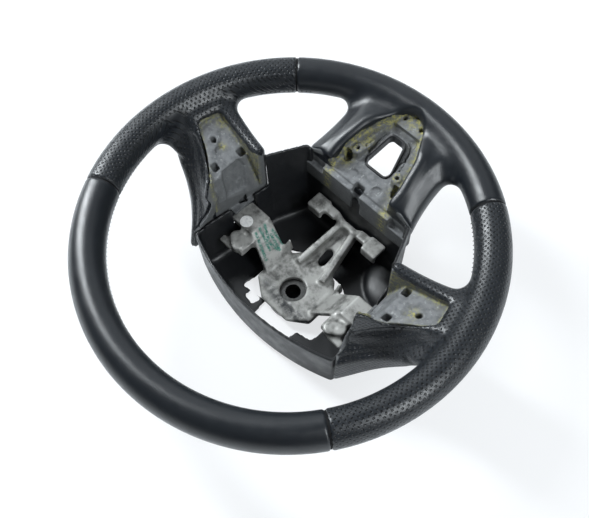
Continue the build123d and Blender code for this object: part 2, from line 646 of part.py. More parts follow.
def cover_plan(distance):
    """Return the plan face of the rear cover, moved inwards by a distance."""
    corners = inset((
        (COVER_SIDE_X, COVER_SIDE_Y), (-COVER_SIDE_X, COVER_SIDE_Y), (-COVER_CHEEK_X, COVER_CHEEK_Y),
        (-COVER_LOW_X, COVER_LOW_Y), (COVER_LOW_X, COVER_LOW_Y), (COVER_CHEEK_X, COVER_CHEEK_Y),
    ), distance)
    crown = ThreePointArc(corners[0], (0, COVER_TOP_Y - distance), corners[1])
    face = make_face(crown + Polyline(*corners[1:], corners[0]))
    return fillet(face.vertices(), COVER_CORNER)


def cover_body(distance, bottom, foot_radius):
    """Return the solid body of the rear cover, moved inwards by a distance, with a rounded foot."""
    sections = []
    for step in range(FOOT_STEPS + 1):
        turn = radians(90 * step / FOOT_STEPS)
        height = bottom + foot_radius * (1 - cos(turn))
        sections.append(Pos(0, 0, height) * cover_plan(COVER_DRAFT + distance + foot_radius * (1 - sin(turn))))
    sections.append(Pos(0, 0, COVER_TALL) * cover_plan(distance))
    return loft(sections, ruled=True)


def build_cover():
    """Return the deep rear cover that closes the back of the hub."""
    cover = cover_body(0, COVER_BOTTOM, COVER_FOOT_RADIUS)
    cover -= cover_body(COVER_WALL, COVER_BOTTOM + COVER_WALL, COVER_FOOT_RADIUS - COVER_WALL)
    top = COVER_TALL * 2
    near_y = (COVER_SIDE_Y - COVER_CORNER * 3, REACH)
    cover -= block((-REACH, REACH), near_y, (DISH - COVER_NEAR_DROP, top))
    side_y = (COVER_CHEEK_Y + COVER_CORNER, COVER_SIDE_Y)
    arm_y = (ARM_CENTRE_Y - ARM_WIDTH / 2 - COVER_FIT, ARM_CENTRE_Y + ARM_WIDTH / 2 + COVER_FIT)
    for side in SIDES:
        limits = sorted((side * PAD_INNER_X, side * REACH))
        cover -= block(limits, side_y, (DISH - COVER_SIDE_DROP, top))
        cover -= block(limits, arm_y, (ARM_HEIGHT - ARM_THICKNESS - COVER_FIT, top))
    low_y = (-REACH, COVER_LOW_Y + COVER_DRAFT + COVER_WALL * 2)
    low_half = COVER_LOW_X - COVER_CORNER
    cover -= block((-low_half, low_half), low_y, (DISH - COVER_LOW_DROP, top))
    high = DISH - COVER_CHEEK_DROP
    lid = ((COVER_CHEEK_Y + COVER_CORNER, high), (COVER_LOW_Y, high - COVER_CHEEK_FALL),
           (COVER_LOW_Y * 2, high - COVER_CHEEK_FALL), (COVER_LOW_Y * 2, top), (COVER_CHEEK_Y + COVER_CORNER, top))
    cover -= extrude(Plane.YZ * make_face(Polyline(*lid, close=True)), REACH, both=True)
    opening = RectangleRounded(COLUMN_OPENING_WIDTH, COLUMN_OPENING_DEPTH, COLUMN_OPENING_CORNER)
    cover -= extrude(Pos(0, 0, COVER_BOTTOM - COVER_WALL) * opening, COVER_WALL * 3)
    for side in SIDES:
        spot = Pos(side * SCREW_X, ARM_CENTRE_Y, COVER_BOTTOM)
        cover += extrude(spot * Circle(COVER_BOSS / 2), ARM_UNDERSIDE - COVER_BOTTOM)
    cover += clip_loop()
    for side in SIDES:
        spot = Pos(side * SCREW_X, ARM_CENTRE_Y, COVER_BOTTOM)
        cover -= extrude(spot * Circle(SCREW_SHANK / 2), ARM_UNDERSIDE - COVER_BOTTOM)
        cover -= extrude(spot * Circle(SCREW_HEAD / 2), SCREW_SINK + SCREW_HEAD_HEIGHT)
    return cover


def clip_loop():
    """Return the flat square cable loop that reaches from the cover's floor into the column opening."""
    left, right = CLIP_LOOP_X, CLIP_LOOP_X + CLIP_LOOP_WIDTH
    edge = COLUMN_OPENING_DEPTH / 2
    heights = (COVER_BOTTOM, COVER_BOTTOM + COVER_WALL)
    frame = block((left, right), (edge - CLIP_LOOP_REACH, edge + CLIP_LOOP_BAR), heights)
    hole = block((left + CLIP_LOOP_BAR, right - CLIP_LOOP_BAR),
                 (edge - CLIP_LOOP_REACH + CLIP_LOOP_BAR, edge - CLIP_LOOP_BAR), heights)
    return frame - hole


def build_screws():
    """Return the two screws that hold the rear cover to the arms."""
    screws = []
    for side in SIDES:
        head = COVER_BOTTOM + SCREW_SINK
        spot = Pos(side * SCREW_X, ARM_CENTRE_Y, head)
        screw = extrude(spot * Circle(SCREW_HEAD / 2), SCREW_HEAD_HEIGHT)
        screws.append(screw + extrude(spot * Circle(SCREW_SHANK / 2), ARM_UNDERSIDE + SCREW_GRIP - head))
    return screws


def build_liner(envelope):
    """Return the black plastic liner of the window in the lower spoke."""
    sleeve = upright(window(LINER_WALL), 0, DISH) - upright(window(0), 0, DISH)
    lip = Pos(0, 0, LINER_PROUD) * below_line(platform_line())
    foot = Pos(0, 0, -LINER_DEPTH) * below_line(platform_line())
    return (sleeve & envelope & lip) - foot


def build_sticker():
    """Return the plain round inspection sticker on the right hand pad."""
    spot = Pos(PAD_INNER_X + STICKER_DIAMETER, ARM_CENTRE_Y + STICKER_DIAMETER / 2, ARM_HEIGHT)
    return extrude(spot * Circle(STICKER_DIAMETER / 2), STICKER_THICKNESS)


def main():
    """Build every piece and write one file for each."""
    os.makedirs("parts", exist_ok=True)
    armature = build_armature()
    ring = rim_core(0) + lower_arm()
    whole, shrunk = side_spoke(0), side_spoke(LEATHER)
    low_whole, low_shrunk = lower_spoke(0), lower_spoke(LEATHER)
    recess = panel_recess()
    hole = window_hole()
    cover = build_cover()
    floor_edge = COVER_DRAFT + COVER_FOOT_RADIUS
    floor_heights = (COVER_BOTTOM - COVER_WALL, COVER_BOTTOM + 2 * COVER_WALL)
    pieces = {
        "armature": armature,
        "hub_insert": build_insert(),
        "rim_ring": ring,
        "foam_moulding": build_foam(armature, ring),
        "leather_top": build_leather(SEAM_TOP_RIGHT, 360 - SEAM_TOP_LEFT, (), (), ()),
        "leather_right": build_leather(SEAM_LOW_RIGHT, SEAM_TOP_RIGHT, (whole,), (shrunk,), (recess,)),
        "leather_left": build_leather(360 - SEAM_TOP_LEFT, 360 - SEAM_LOW_LEFT, (mirrored(whole),),
                                      (mirrored(shrunk),), (mirrored(recess),)),
        "leather_bottom": build_leather(-SEAM_LOW_LEFT, SEAM_LOW_RIGHT, (low_whole,), (low_shrunk,),
                                        (lower_recess(), hole)),
        "rear_cover": cover - upright(cover_plan(floor_edge - GLUE_LINE), *floor_heights),
        "cover_floor": cover & upright(cover_plan(floor_edge), *floor_heights),
        "cover_screws": Compound(children=build_screws()),
        "window_liner": build_liner(low_whole),
        "inspection_sticker": build_sticker(),
    }
    for name, piece in pieces.items():
        export_step(Pos(0, 0, COUNTERBORE_DEPTH) * piece, f"parts/{name}.step")


if __name__ == "__main__":
    main()
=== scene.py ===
"""Dress the leather wrapped steering wheel: leather, foam, casting, cover and a white studio."""
import logging
import math
from dataclasses import dataclass
from enum import Enum

import bpy
import numpy as np
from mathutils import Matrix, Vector


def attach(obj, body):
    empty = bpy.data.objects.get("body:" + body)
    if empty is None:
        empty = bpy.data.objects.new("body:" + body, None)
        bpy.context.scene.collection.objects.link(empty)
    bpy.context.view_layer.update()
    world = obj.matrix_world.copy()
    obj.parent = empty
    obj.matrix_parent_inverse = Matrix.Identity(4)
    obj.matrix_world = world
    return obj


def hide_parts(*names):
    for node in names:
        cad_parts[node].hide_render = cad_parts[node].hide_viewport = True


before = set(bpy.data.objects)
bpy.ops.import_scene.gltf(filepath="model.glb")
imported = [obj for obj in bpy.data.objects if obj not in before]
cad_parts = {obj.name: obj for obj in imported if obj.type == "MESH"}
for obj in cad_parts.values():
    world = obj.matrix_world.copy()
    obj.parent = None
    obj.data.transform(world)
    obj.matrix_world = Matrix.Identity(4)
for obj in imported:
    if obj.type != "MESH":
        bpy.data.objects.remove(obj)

MM = 0.001
BODY = "root"
LOG = logging.getLogger("steering_wheel")
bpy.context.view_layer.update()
SMOOTH_ANGLE = math.radians(45)
# Names for the kinds of values that repeat below
Span = tuple[float, float]
Pairs = tuple[tuple[float, float], ...]
Colour = tuple[float, ...]
Place = tuple[float, float, float]
Line = tuple[Place, Place]


class Carve(Enum):
    """Ways in which one closed shape changes another."""

    REMOVE = "DIFFERENCE"
    KEEP = "INTERSECT"


class Slot(Enum):
    """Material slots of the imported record."""

    CASTING = "casting"
    FOAM = "foam"
    SMOOTH = "smooth_leather"
    PERFORATED = "perforated_leather"
    PLASTIC = "cover_plastic"


def tone(red: float, green: float, blue: float) -> tuple[float, float, float, float]:
    """Turn a colour as a screen shows it, from 0 to 255, into linear light.

    Args:
        red: Red part.
        green: Green part.
        blue: Blue part.

    Returns:
        The linear colour with full opacity.
    """
    parts = [value / 255 for value in (red, green, blue)]
    light = [p / 12.92 if p <= 0.04045 else ((p + 0.055) / 1.055) ** 2.4 for p in parts]
    return (*light, 1.0)


class Bench:
    """Workbench of modelling steps that are shared by the pieces."""

    @staticmethod
    def take(obj: bpy.types.Object) -> None:
        """Select one object alone and make it the active one."""
        if bpy.context.object and bpy.context.object.mode != "OBJECT":
            bpy.ops.object.mode_set(mode="OBJECT")
        bpy.ops.object.select_all(action="DESELECT")
        obj.select_set(True)
        bpy.context.view_layer.objects.active = obj

    @staticmethod
    def copy_nodes(title: str, names: list[str]) -> bpy.types.Object:
        """Join merged copies of CAD nodes into one new object.

        Args:
            title: Name of the new object.
            names: CAD nodes to copy.

        Returns:
            The joined copy.
        """
        copies = []
        for name in names:
            copy = bpy.data.objects.new(title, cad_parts[name].data.copy())
            bpy.context.scene.collection.objects.link(copy)
            copies.append(copy)
        whole = Bench.join(copies, title)
        whole.data.name = title
        whole.data.materials.clear()
        Bench.merge(whole)
        return whole

    @staticmethod
    def join(parts: list[bpy.types.Object], title: str) -> bpy.types.Object:
        """Join objects into the first of them and name it.

        Args:
            parts: Objects to join.
            title: Name of the whole.

        Returns:
            The whole.
        """
        Bench.take(parts[0])
        for part in parts:
            part.select_set(True)
        if len(parts) > 1:
            bpy.ops.object.join()
        parts[0].name = title
        return parts[0]

    @staticmethod
    def mirrored(outline: Pairs, side: int) -> list[tuple[float, float]]:
        """Return an outline as it is for side 1, and its mirror image for side -1."""
        return [(side * x, y) for x, y in outline][::side]

    @staticmethod
    def line_distance(spots: np.ndarray, start: tuple[float, ...], end: tuple[float, ...]) -> np.ndarray:
        """Return how far points lie from a line, in a plan or in space.

        Args:
            spots: Points, one row each.
            start: Where the line starts.
            end: Where the line ends.

        Returns:
            The distance of each point.
        """
        first = np.array(start)
        run = np.array(end) - first
        part = np.clip(((spots - first) @ run) / (run @ run), 0, 1)
        return np.linalg.norm(spots - first - part[:, None] * run, axis=1)

    @staticmethod
    def ease(part: np.ndarray) -> np.ndarray:
        """Return a share that is held between 0 and 1 and starts and ends softly."""
        part = np.clip(part, 0, 1)
        return part * part * (3 - 2 * part)

    @staticmethod
    def duplicate(obj: bpy.types.Object, title: str) -> bpy.types.Object:
        """Return a copy of an object with a mesh of its own."""
        copy = bpy.data.objects.new(title, obj.data.copy())
        bpy.context.scene.collection.objects.link(copy)
        return copy

    @staticmethod
    def merge(obj: bpy.types.Object, gap: float = 0.01 * MM) -> None:
        """Merge the points of a mesh that lie within a gap."""
        Bench.take(obj)
        bpy.ops.object.mode_set(mode="EDIT")
        bpy.ops.mesh.select_all(action="SELECT")
        bpy.ops.mesh.remove_doubles(threshold=gap)
        bpy.ops.object.mode_set(mode="OBJECT")

    @staticmethod
    def modify(obj: bpy.types.Object, kind: str, **settings: object) -> None:
        """Add a modifier, set it and apply it.

        Args:
            obj: Object to change.
            kind: Modifier type.
            **settings: Values of the modifier's fields.
        """
        Bench.take(obj)
        modifier = obj.modifiers.new(kind.title(), kind)
        for key, value in settings.items():
            setattr(modifier, key, value)
        bpy.ops.object.modifier_apply(modifier=modifier.name)

    @staticmethod
    def voxel(obj: bpy.types.Object, size: float) -> None:
        """Rebuild a mesh from cubes of a size in millimetres."""
        Bench.modify(obj, "REMESH", mode="VOXEL", voxel_size=size * MM, adaptivity=0.0)

    @staticmethod
    def swell(obj: bpy.types.Object, distance: float) -> None:
        """Push a surface out along its normals by millimetres."""
        Bench.modify(obj, "DISPLACE", strength=distance * MM, mid_level=0.0, direction="NORMAL")

    @staticmethod
    def soften(obj: bpy.types.Object, repeats: int) -> None:
        """Even out a surface a number of times."""
        Bench.modify(obj, "SMOOTH", iterations=repeats, factor=0.5)

    @staticmethod
    def carve(obj: bpy.types.Object, tool: bpy.types.Object, how: Carve) -> None:
        """Cut one closed shape with another, which is used up.

        Args:
            obj: Shape to change.
            tool: Shape to change it with.
            how: What to do with the tool's volume.
        """
        Bench.modify(obj, "BOOLEAN", object=tool, operation=how.value, solver="MANIFOLD")
        bpy.data.objects.remove(tool)

    @staticmethod
    def prism(title: str, outline: list[tuple[float, float]], low: float, high: float,
              corner: float = 0.0) -> bpy.types.Object:
        """Raise a plan outline to a closed prism.

        Args:
            title: Name of the new object.
            outline: Plan points in millimetres, counter-clockwise.
            low: Height of the bottom in millimetres.
            high: Height of the top in millimetres.
            corner: Radius that rounds the upright edges.

        Returns:
            The prism.
        """
        bpy.ops.object.select_all(action="DESELECT")
        bpy.ops.mesh.primitive_circle_add(vertices=len(outline), fill_type="NGON")
        made = bpy.context.object
        made.name = title
        made.data.name = title
        made.location = (0, 0, 0)
        for vertex, (x, y) in zip(made.data.vertices, outline):
            vertex.co = (x * MM, y * MM, low * MM)
        bpy.ops.object.mode_set(mode="EDIT")
        bpy.ops.mesh.select_all(action="SELECT")
        bpy.ops.mesh.extrude_region_move(TRANSFORM_OT_translate={"value": (0, 0, (high - low) * MM)})
        bpy.ops.mesh.select_all(action="SELECT")
        bpy.ops.mesh.normals_make_consistent(inside=False)
        bpy.ops.object.mode_set(mode="OBJECT")
        if corner:
            Bench.round_upright(made, corner)
        return made

    @staticmethod
    def round_upright(obj: bpy.types.Object, radius: float) -> None:
        """Bevel the upright edges of a prism by a radius in millimetres."""
        Bench.take(obj)
        bpy.ops.object.mode_set(mode="EDIT")
        bpy.ops.mesh.select_all(action="DESELECT")
        bpy.ops.object.mode_set(mode="OBJECT")
        for edge in obj.data.edges:
            first, last = (obj.data.vertices[i].co for i in edge.vertices)
            edge.select = (first - last).xy.length < 0.001 * MM
        bpy.ops.object.mode_set(mode="EDIT")
        bpy.ops.mesh.select_mode(type="EDGE")
        bpy.ops.mesh.bevel(offset=radius * MM, segments=4, clamp_overlap=True)
        bpy.ops.mesh.select_mode(type="VERT")
        bpy.ops.object.mode_set(mode="OBJECT")

    @staticmethod
    def side_prism(title: str, outline: list[tuple[float, float]], reach: float,
                   along_x: bool) -> bpy.types.Object:
        """Return a prism with an outline drawn in a side view.

        Args:
            title: Name of the new object.
            outline: Points as distance out and height, in millimetres.
            reach: Half of the prism's length.
            along_x: Whether the prism runs along X, and the outline's distances along Y.

        Returns:
            The prism.
        """
        made = Bench.prism(title, outline, -reach, reach)
        for vertex in made.data.vertices:
            out, height, run = vertex.co
            vertex.co = (run, out, height) if along_x else (out, -run, height)
        Bench.take(made)
        bpy.ops.object.mode_set(mode="EDIT")
        bpy.ops.mesh.select_all(action="SELECT")
        bpy.ops.mesh.normals_make_consistent(inside=False)
        bpy.ops.object.mode_set(mode="OBJECT")
        return made

    @staticmethod
    def points(obj: bpy.types.Object) -> np.ndarray:
        """Return the points of a mesh in millimetres, one row each."""
        flat = np.empty(len(obj.data.vertices) * 3)
        obj.data.vertices.foreach_get("co", flat)
        return flat.reshape(-1, 3) / MM

    @staticmethod
    def normals(obj: bpy.types.Object) -> np.ndarray:
        """Return the normals of a mesh's points, one row each."""
        flat = np.empty(len(obj.data.vertices) * 3)
        obj.data.vertices.foreach_get("normal", flat)
        return flat.reshape(-1, 3)

    @staticmethod
    def put(obj: bpy.types.Object, points: np.ndarray) -> None:
        """Move the points of a mesh to new places in millimetres."""
        obj.data.vertices.foreach_set("co", (points * MM).ravel())
        obj.data.update()

    @staticmethod
    def mark(obj: bpy.types.Object, title: str, values: np.ndarray) -> None:
        """Store one number or one vector for each point of a mesh."""
        kind, field = ("FLOAT", "value") if values.ndim == 1 else ("FLOAT_VECTOR", "vector")
        layer = obj.data.attributes.new(title, kind, "POINT")
        layer.data.foreach_set(field, np.ascontiguousarray(values, dtype=np.float32).ravel())

    @staticmethod
    def dress(obj: bpy.types.Object, material: bpy.types.Material, slot: Slot, nodes: list[str]) -> None:
        """Give a piece its finish, shade it, hang it on the body and let it stand for its nodes.

        Args:
            obj: The finished piece.
            material: Its finish.
            slot: Record slot of the finish; not used.
            nodes: CAD nodes that it stands for.
        """
        obj.data.materials.clear()
        obj.data.materials.append(material)
        Bench.take(obj)
        bpy.ops.object.shade_smooth_by_angle(angle=SMOOTH_ANGLE)
        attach(obj, BODY)
        if nodes:
            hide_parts(*nodes)
        LOG.info("%s: %d faces", obj.name, len(obj.data.polygons))


class Recipe:
    """Node recipe of one material, with a principled shader at its end."""

    def __init__(self, title: str) -> None:
        """Start an empty recipe with a title."""
        self.material = bpy.data.materials.new(title)
        self.material.use_nodes = True
        self.tree = self.material.node_tree
        self.shader = self.tree.nodes["Principled BSDF"]
        self.place = self.tree.nodes.new("ShaderNodeTexCoord").outputs["Object"]

    def node(self, kind: str, **values: object) -> bpy.types.Node:
        """Add a node and set its fields.

        Args:
            kind: Node type without its prefix.
            **values: Fields of the node.

        Returns:
            The node.
        """
        made = self.tree.nodes.new("ShaderNode" + kind)
        for key, value in values.items():
            setattr(made, key, value)
        return made

    def feed(self, source: object, target: bpy.types.NodeSocket) -> None:
        """Link a socket or set a plain value on a target socket."""
        if isinstance(source, bpy.types.NodeSocket):
            self.tree.links.new(source, target)
        else:
            target.default_value = source

    def sums(self, how: str, first: object, second: object = 0.0) -> bpy.types.NodeSocket:
        """Return the result of one sum on two values or sockets."""
        made = self.node("Math", operation=how)
        self.feed(first, made.inputs[0])
        self.feed(second, made.inputs[1])
        return made.outputs[0]

    def noise(self, size: float, detail: float = 3.0, rough: float = 0.55) -> bpy.types.NodeSocket:
        """Return cloudy noise with blobs of a size in millimetres."""
        made = self.node("TexNoise")
        self.feed(self.place, made.inputs["Vector"])
        made.inputs["Scale"].default_value = 1 / (size * MM)
        made.inputs["Detail"].default_value = detail
        made.inputs["Roughness"].default_value = rough
        return made.outputs["Fac"]

    def cells(self, size: float) -> bpy.types.NodeSocket:
        """Return a pattern of cells of a size in millimetres."""
        made = self.node("TexVoronoi", feature="DISTANCE_TO_EDGE")
        self.feed(self.place, made.inputs["Vector"])
        made.inputs["Scale"].default_value = 1 / (size * MM)
        return made.outputs["Distance"]

    def fade(self, value: object, low: float, high: float, start: float = 0.0,
             end: float = 1.0) -> bpy.types.NodeSocket:
        """Return a value that runs softly from start to end between two limits."""
        made = self.node("MapRange", interpolation_type="SMOOTHSTEP")
        for index, number in enumerate((value, low, high, start, end)):
            self.feed(number, made.inputs[index])
        return made.outputs[0]

    def blend(self, part: object, first: object, second: object) -> bpy.types.NodeSocket:
        """Return a colour between two colours or sockets."""
        made = self.node("Mix", data_type="RGBA")
        self.feed(part, made.inputs[0])
        self.feed(first, made.inputs[6])
        self.feed(second, made.inputs[7])
        return made.outputs[2]

    def relief(self, height: bpy.types.NodeSocket, depth: float, under: bpy.types.NodeSocket | None = None,
               strength: float = 1.0) -> bpy.types.NodeSocket:
        """Return a bumped normal from a height with a depth in millimetres."""
        made = self.node("Bump")
        made.inputs["Strength"].default_value = strength
        made.inputs["Distance"].default_value = depth * MM
        self.feed(height, made.inputs["Height"])
        if under:
            self.feed(under, made.inputs["Normal"])
        return made.outputs["Normal"]

    def stored(self, title: str) -> bpy.types.Node:
        """Return the node that reads a value stored on the mesh."""
        return self.node("Attribute", attribute_name=title)

    def close(self, colour: object, rough: object, normal: bpy.types.NodeSocket | None,
              **values: float) -> bpy.types.Material:
        """Link the shader and return the material.

        Args:
            colour: Base colour or its socket.
            rough: Roughness or its socket.
            normal: Bumped normal, if any.
            **values: Other shader sockets, with underscores for spaces.

        Returns:
            The finished material.
        """
        self.feed(colour, self.shader.inputs["Base Color"])
        self.feed(rough, self.shader.inputs["Roughness"])
        if normal:
            self.feed(normal, self.shader.inputs["Normal"])
        for key, value in values.items():
            self.shader.inputs[key.replace("_", " ")].default_value = value
        return self.material


@dataclass(frozen=True)
class SmoothLeather:
    """Plain nappa leather with a fine pebble grain."""

    dark: Colour = tone(19, 22, 26)
    light: Colour = tone(27, 31, 36)
    grain: float = 0.9

    def material(self) -> bpy.types.Material:
        """Return the leather's material."""
        recipe = Recipe("smooth_leather")
        colour = recipe.blend(recipe.noise(22, detail=4), self.dark, self.light)
        rough = recipe.fade(recipe.noise(9, detail=5), 0.3, 0.7, 0.30, 0.38)
        pebble = recipe.fade(recipe.cells(self.grain), 0.0, 0.22)
        normal = recipe.relief(pebble, 0.035, strength=0.6)
        normal = recipe.relief(recipe.noise(30, detail=2), 0.4, normal, 0.3)
        return recipe.close(colour, rough, normal, Specular_IOR_Level=0.5)


@dataclass(frozen=True)
class PerforatedLeather:
    """Leather punched with staggered rows of small holes."""

    dark: Colour = tone(22, 25, 29)
    light: Colour = tone(31, 35, 40)
    hole: Colour = tone(7, 8, 9)
    pitch: float = 5.0
    row: float = 2.5
    radius: float = 1.0

    def material(self) -> bpy.types.Material:
        """Return the leather's material."""
        recipe = Recipe("perforated_leather")
        parts = recipe.node("SeparateXYZ")
        recipe.feed(recipe.stored("wrap").outputs["Vector"], parts.inputs[0])
        rows = recipe.sums("DIVIDE", parts.outputs[1], self.row)
        stagger = recipe.sums("MULTIPLY", recipe.sums("PINGPONG", recipe.sums("FLOOR", rows), 1.0), 0.5)
        across = recipe.sums("ADD", recipe.sums("DIVIDE", parts.outputs[0], self.pitch), stagger)
        out = recipe.sums("MULTIPLY", recipe.sums("SUBTRACT", recipe.sums("FRACT", across), 0.5), self.pitch)
        up = recipe.sums("MULTIPLY", recipe.sums("SUBTRACT", recipe.sums("FRACT", rows), 0.5), self.row)
        squares = recipe.sums("ADD", recipe.sums("MULTIPLY", out, out), recipe.sums("MULTIPLY", up, up))
        far = recipe.sums("SQRT", squares)
        solid = recipe.fade(far, self.radius * 0.35, self.radius * 1.1)
        colour = recipe.blend(recipe.noise(22, detail=4), self.dark, self.light)
        colour = recipe.blend(solid, self.hole, colour)
        rough = recipe.fade(recipe.noise(9, detail=5), 0.3, 0.7, 0.3, 0.4)
        normal = recipe.relief(recipe.fade(recipe.cells(0.9), 0.0, 0.22), 0.03, strength=0.6)
        normal = recipe.relief(solid, 0.9, normal, 1.0)
        return recipe.close(colour, rough, normal, Specular_IOR_Level=0.5)


@dataclass(frozen=True)
class SeamThread:
    """Nearly black thread and folded leather at the bottom of a seam."""

    title: str = "seam_thread"
    dark: Colour = tone(7, 7, 8)
    light: Colour = tone(15, 15, 17)

    def material(self) -> bpy.types.Material:
        """Return the seam's material."""
        recipe = Recipe(self.title)
        colour = recipe.blend(recipe.noise(1.2, detail=3), self.dark, self.light)
        normal = recipe.relief(recipe.noise(0.8, detail=3), 0.2)
        return recipe.close(colour, 0.75, normal, Specular_IOR_Level=0.2)


@dataclass(frozen=True)
class UrethaneFoam:
    """Grey moulded foam with stains, crumbs of yellow glue and painted shade on its upright faces."""

    base: Colour = tone(112, 114, 116)
    shade: Colour = tone(82, 84, 86)
    pale: Colour = tone(146, 148, 148)
    glue: Colour = tone(150, 146, 84)
    # Painted shade colour for upright faces.
    upright: Colour = tone(90, 92, 93)

    def material(self) -> bpy.types.Material:
        """Return the foam's material."""
        recipe = Recipe("grey_foam")
        colour = recipe.blend(recipe.fade(recipe.noise(7, detail=5), 0.35, 0.7), self.base, self.shade)
        faded = recipe.fade(recipe.noise(4, detail=6, rough=0.65), 0.56, 0.72)
        colour = recipe.blend(faded, colour, self.pale)
        # Painted shade: faces that turn upright blend to the darker upright colour.
        facing = recipe.node("SeparateXYZ")
        recipe.feed(recipe.node("NewGeometry").outputs["Normal"], facing.inputs[0])
        colour = recipe.blend(recipe.fade(facing.outputs[2], 0.1, 0.7), self.upright, colour)
        spots = recipe.fade(recipe.noise(3.2, detail=5, rough=0.7), 0.42, 0.62)
        amount = recipe.sums("MULTIPLY", spots, recipe.stored("glue").outputs["Fac"])
        colour = recipe.blend(amount, colour, self.glue)
        pores = recipe.fade(recipe.cells(0.7), 0.0, 0.3)
        normal = recipe.relief(pores, 0.12, strength=0.5)
        normal = recipe.relief(recipe.noise(2.5, detail=4), 0.5, normal, 0.4)
        return recipe.close(colour, recipe.fade(recipe.noise(5), 0.3, 0.7, 0.62, 0.82), normal)


@dataclass(frozen=True)
class CastMetal:
    """Bare die cast light metal with dark stains, marker paint, a darker band and painted highlights on its
    edges.
    """

    base: Colour = tone(168, 168, 165)
    stain: Colour = tone(92, 92, 90)
    painted_edge_highlight: Colour = tone(208, 208, 206)
    paint: Colour = tone(44, 112, 98)
    dark_band: Colour = tone(50, 52, 54)

    def material(self) -> bpy.types.Material:
        """Return the casting's material."""
        recipe = Recipe("die_casting")
        stains = recipe.fade(recipe.noise(11, detail=6, rough=0.62), 0.42, 0.72)
        colour = recipe.blend(stains, self.base, self.stain)
        # Painted highlight: convex edges turn lighter by their pointiness.
        edges = recipe.node("NewGeometry").outputs["Pointiness"]
        colour = recipe.blend(recipe.fade(edges, 0.52, 0.58), colour, self.painted_edge_highlight)
        strokes = recipe.sums("MULTIPLY", recipe.stored("paint").outputs["Fac"],
                              recipe.fade(recipe.noise(2.2, detail=5, rough=0.7), 0.36, 0.56))
        colour = recipe.blend(strokes, colour, self.paint)
        # A darker band along lines beside the bore.
        band = recipe.sums("MULTIPLY", recipe.stored("dark_band").outputs["Fac"],
                           recipe.fade(recipe.noise(6, detail=6, rough=0.65), 0.30, 0.60))
        colour = recipe.blend(band, colour, self.dark_band)
        normal = recipe.relief(recipe.noise(0.9, detail=4, rough=0.6), 0.12, strength=0.6)
        normal = recipe.relief(recipe.noise(9, detail=3), 0.6, normal, 0.4)
        rough = recipe.fade(recipe.noise(4, detail=5), 0.3, 0.7, 0.42, 0.6)
        return recipe.close(colour, rough, normal, Metallic=0.35)


@dataclass(frozen=True)
class MouldedPlastic:
    """Black moulded plastic with a fine spark grain."""

    dark: Colour = tone(17, 18, 21)
    light: Colour = tone(26, 28, 31)

    def material(self) -> bpy.types.Material:
        """Return the plastic's material."""
        recipe = Recipe("black_plastic")
        colour = recipe.blend(recipe.noise(35, detail=4), self.dark, self.light)
        normal = recipe.relief(recipe.noise(0.45, detail=3, rough=0.6), 0.03, strength=0.5)
        return recipe.close(colour, recipe.fade(recipe.noise(14, detail=5), 0.3, 0.7, 0.34, 0.5), normal)


@dataclass(frozen=True)
class TurnedSteel:
    """Dull turned steel."""

    base: Colour = tone(116, 117, 117)
    dark: Colour = tone(62, 61, 59)

    def material(self) -> bpy.types.Material:
        """Return the steel's material."""
        recipe = Recipe("turned_steel")
        colour = recipe.blend(recipe.noise(3, detail=5), self.base, self.dark)
        normal = recipe.relief(recipe.noise(0.4, detail=3), 0.05)
        rough = recipe.fade(recipe.noise(2, detail=4), 0.3, 0.7, 0.28, 0.45)
        return recipe.close(colour, rough, normal, Metallic=1.0)


@dataclass(frozen=True)
class StickerPaper:
    """White coated paper."""

    base: Colour = tone(250, 250, 249)
    grey: Colour = tone(214, 215, 215)

    def material(self) -> bpy.types.Material:
        """Return the paper's material."""
        recipe = Recipe("sticker_paper")
        colour = recipe.blend(recipe.fade(recipe.noise(2.2, detail=4), 0.45, 0.75), self.base, self.grey)
        return recipe.close(colour, 0.45, recipe.relief(recipe.noise(1.2, detail=3), 0.05))


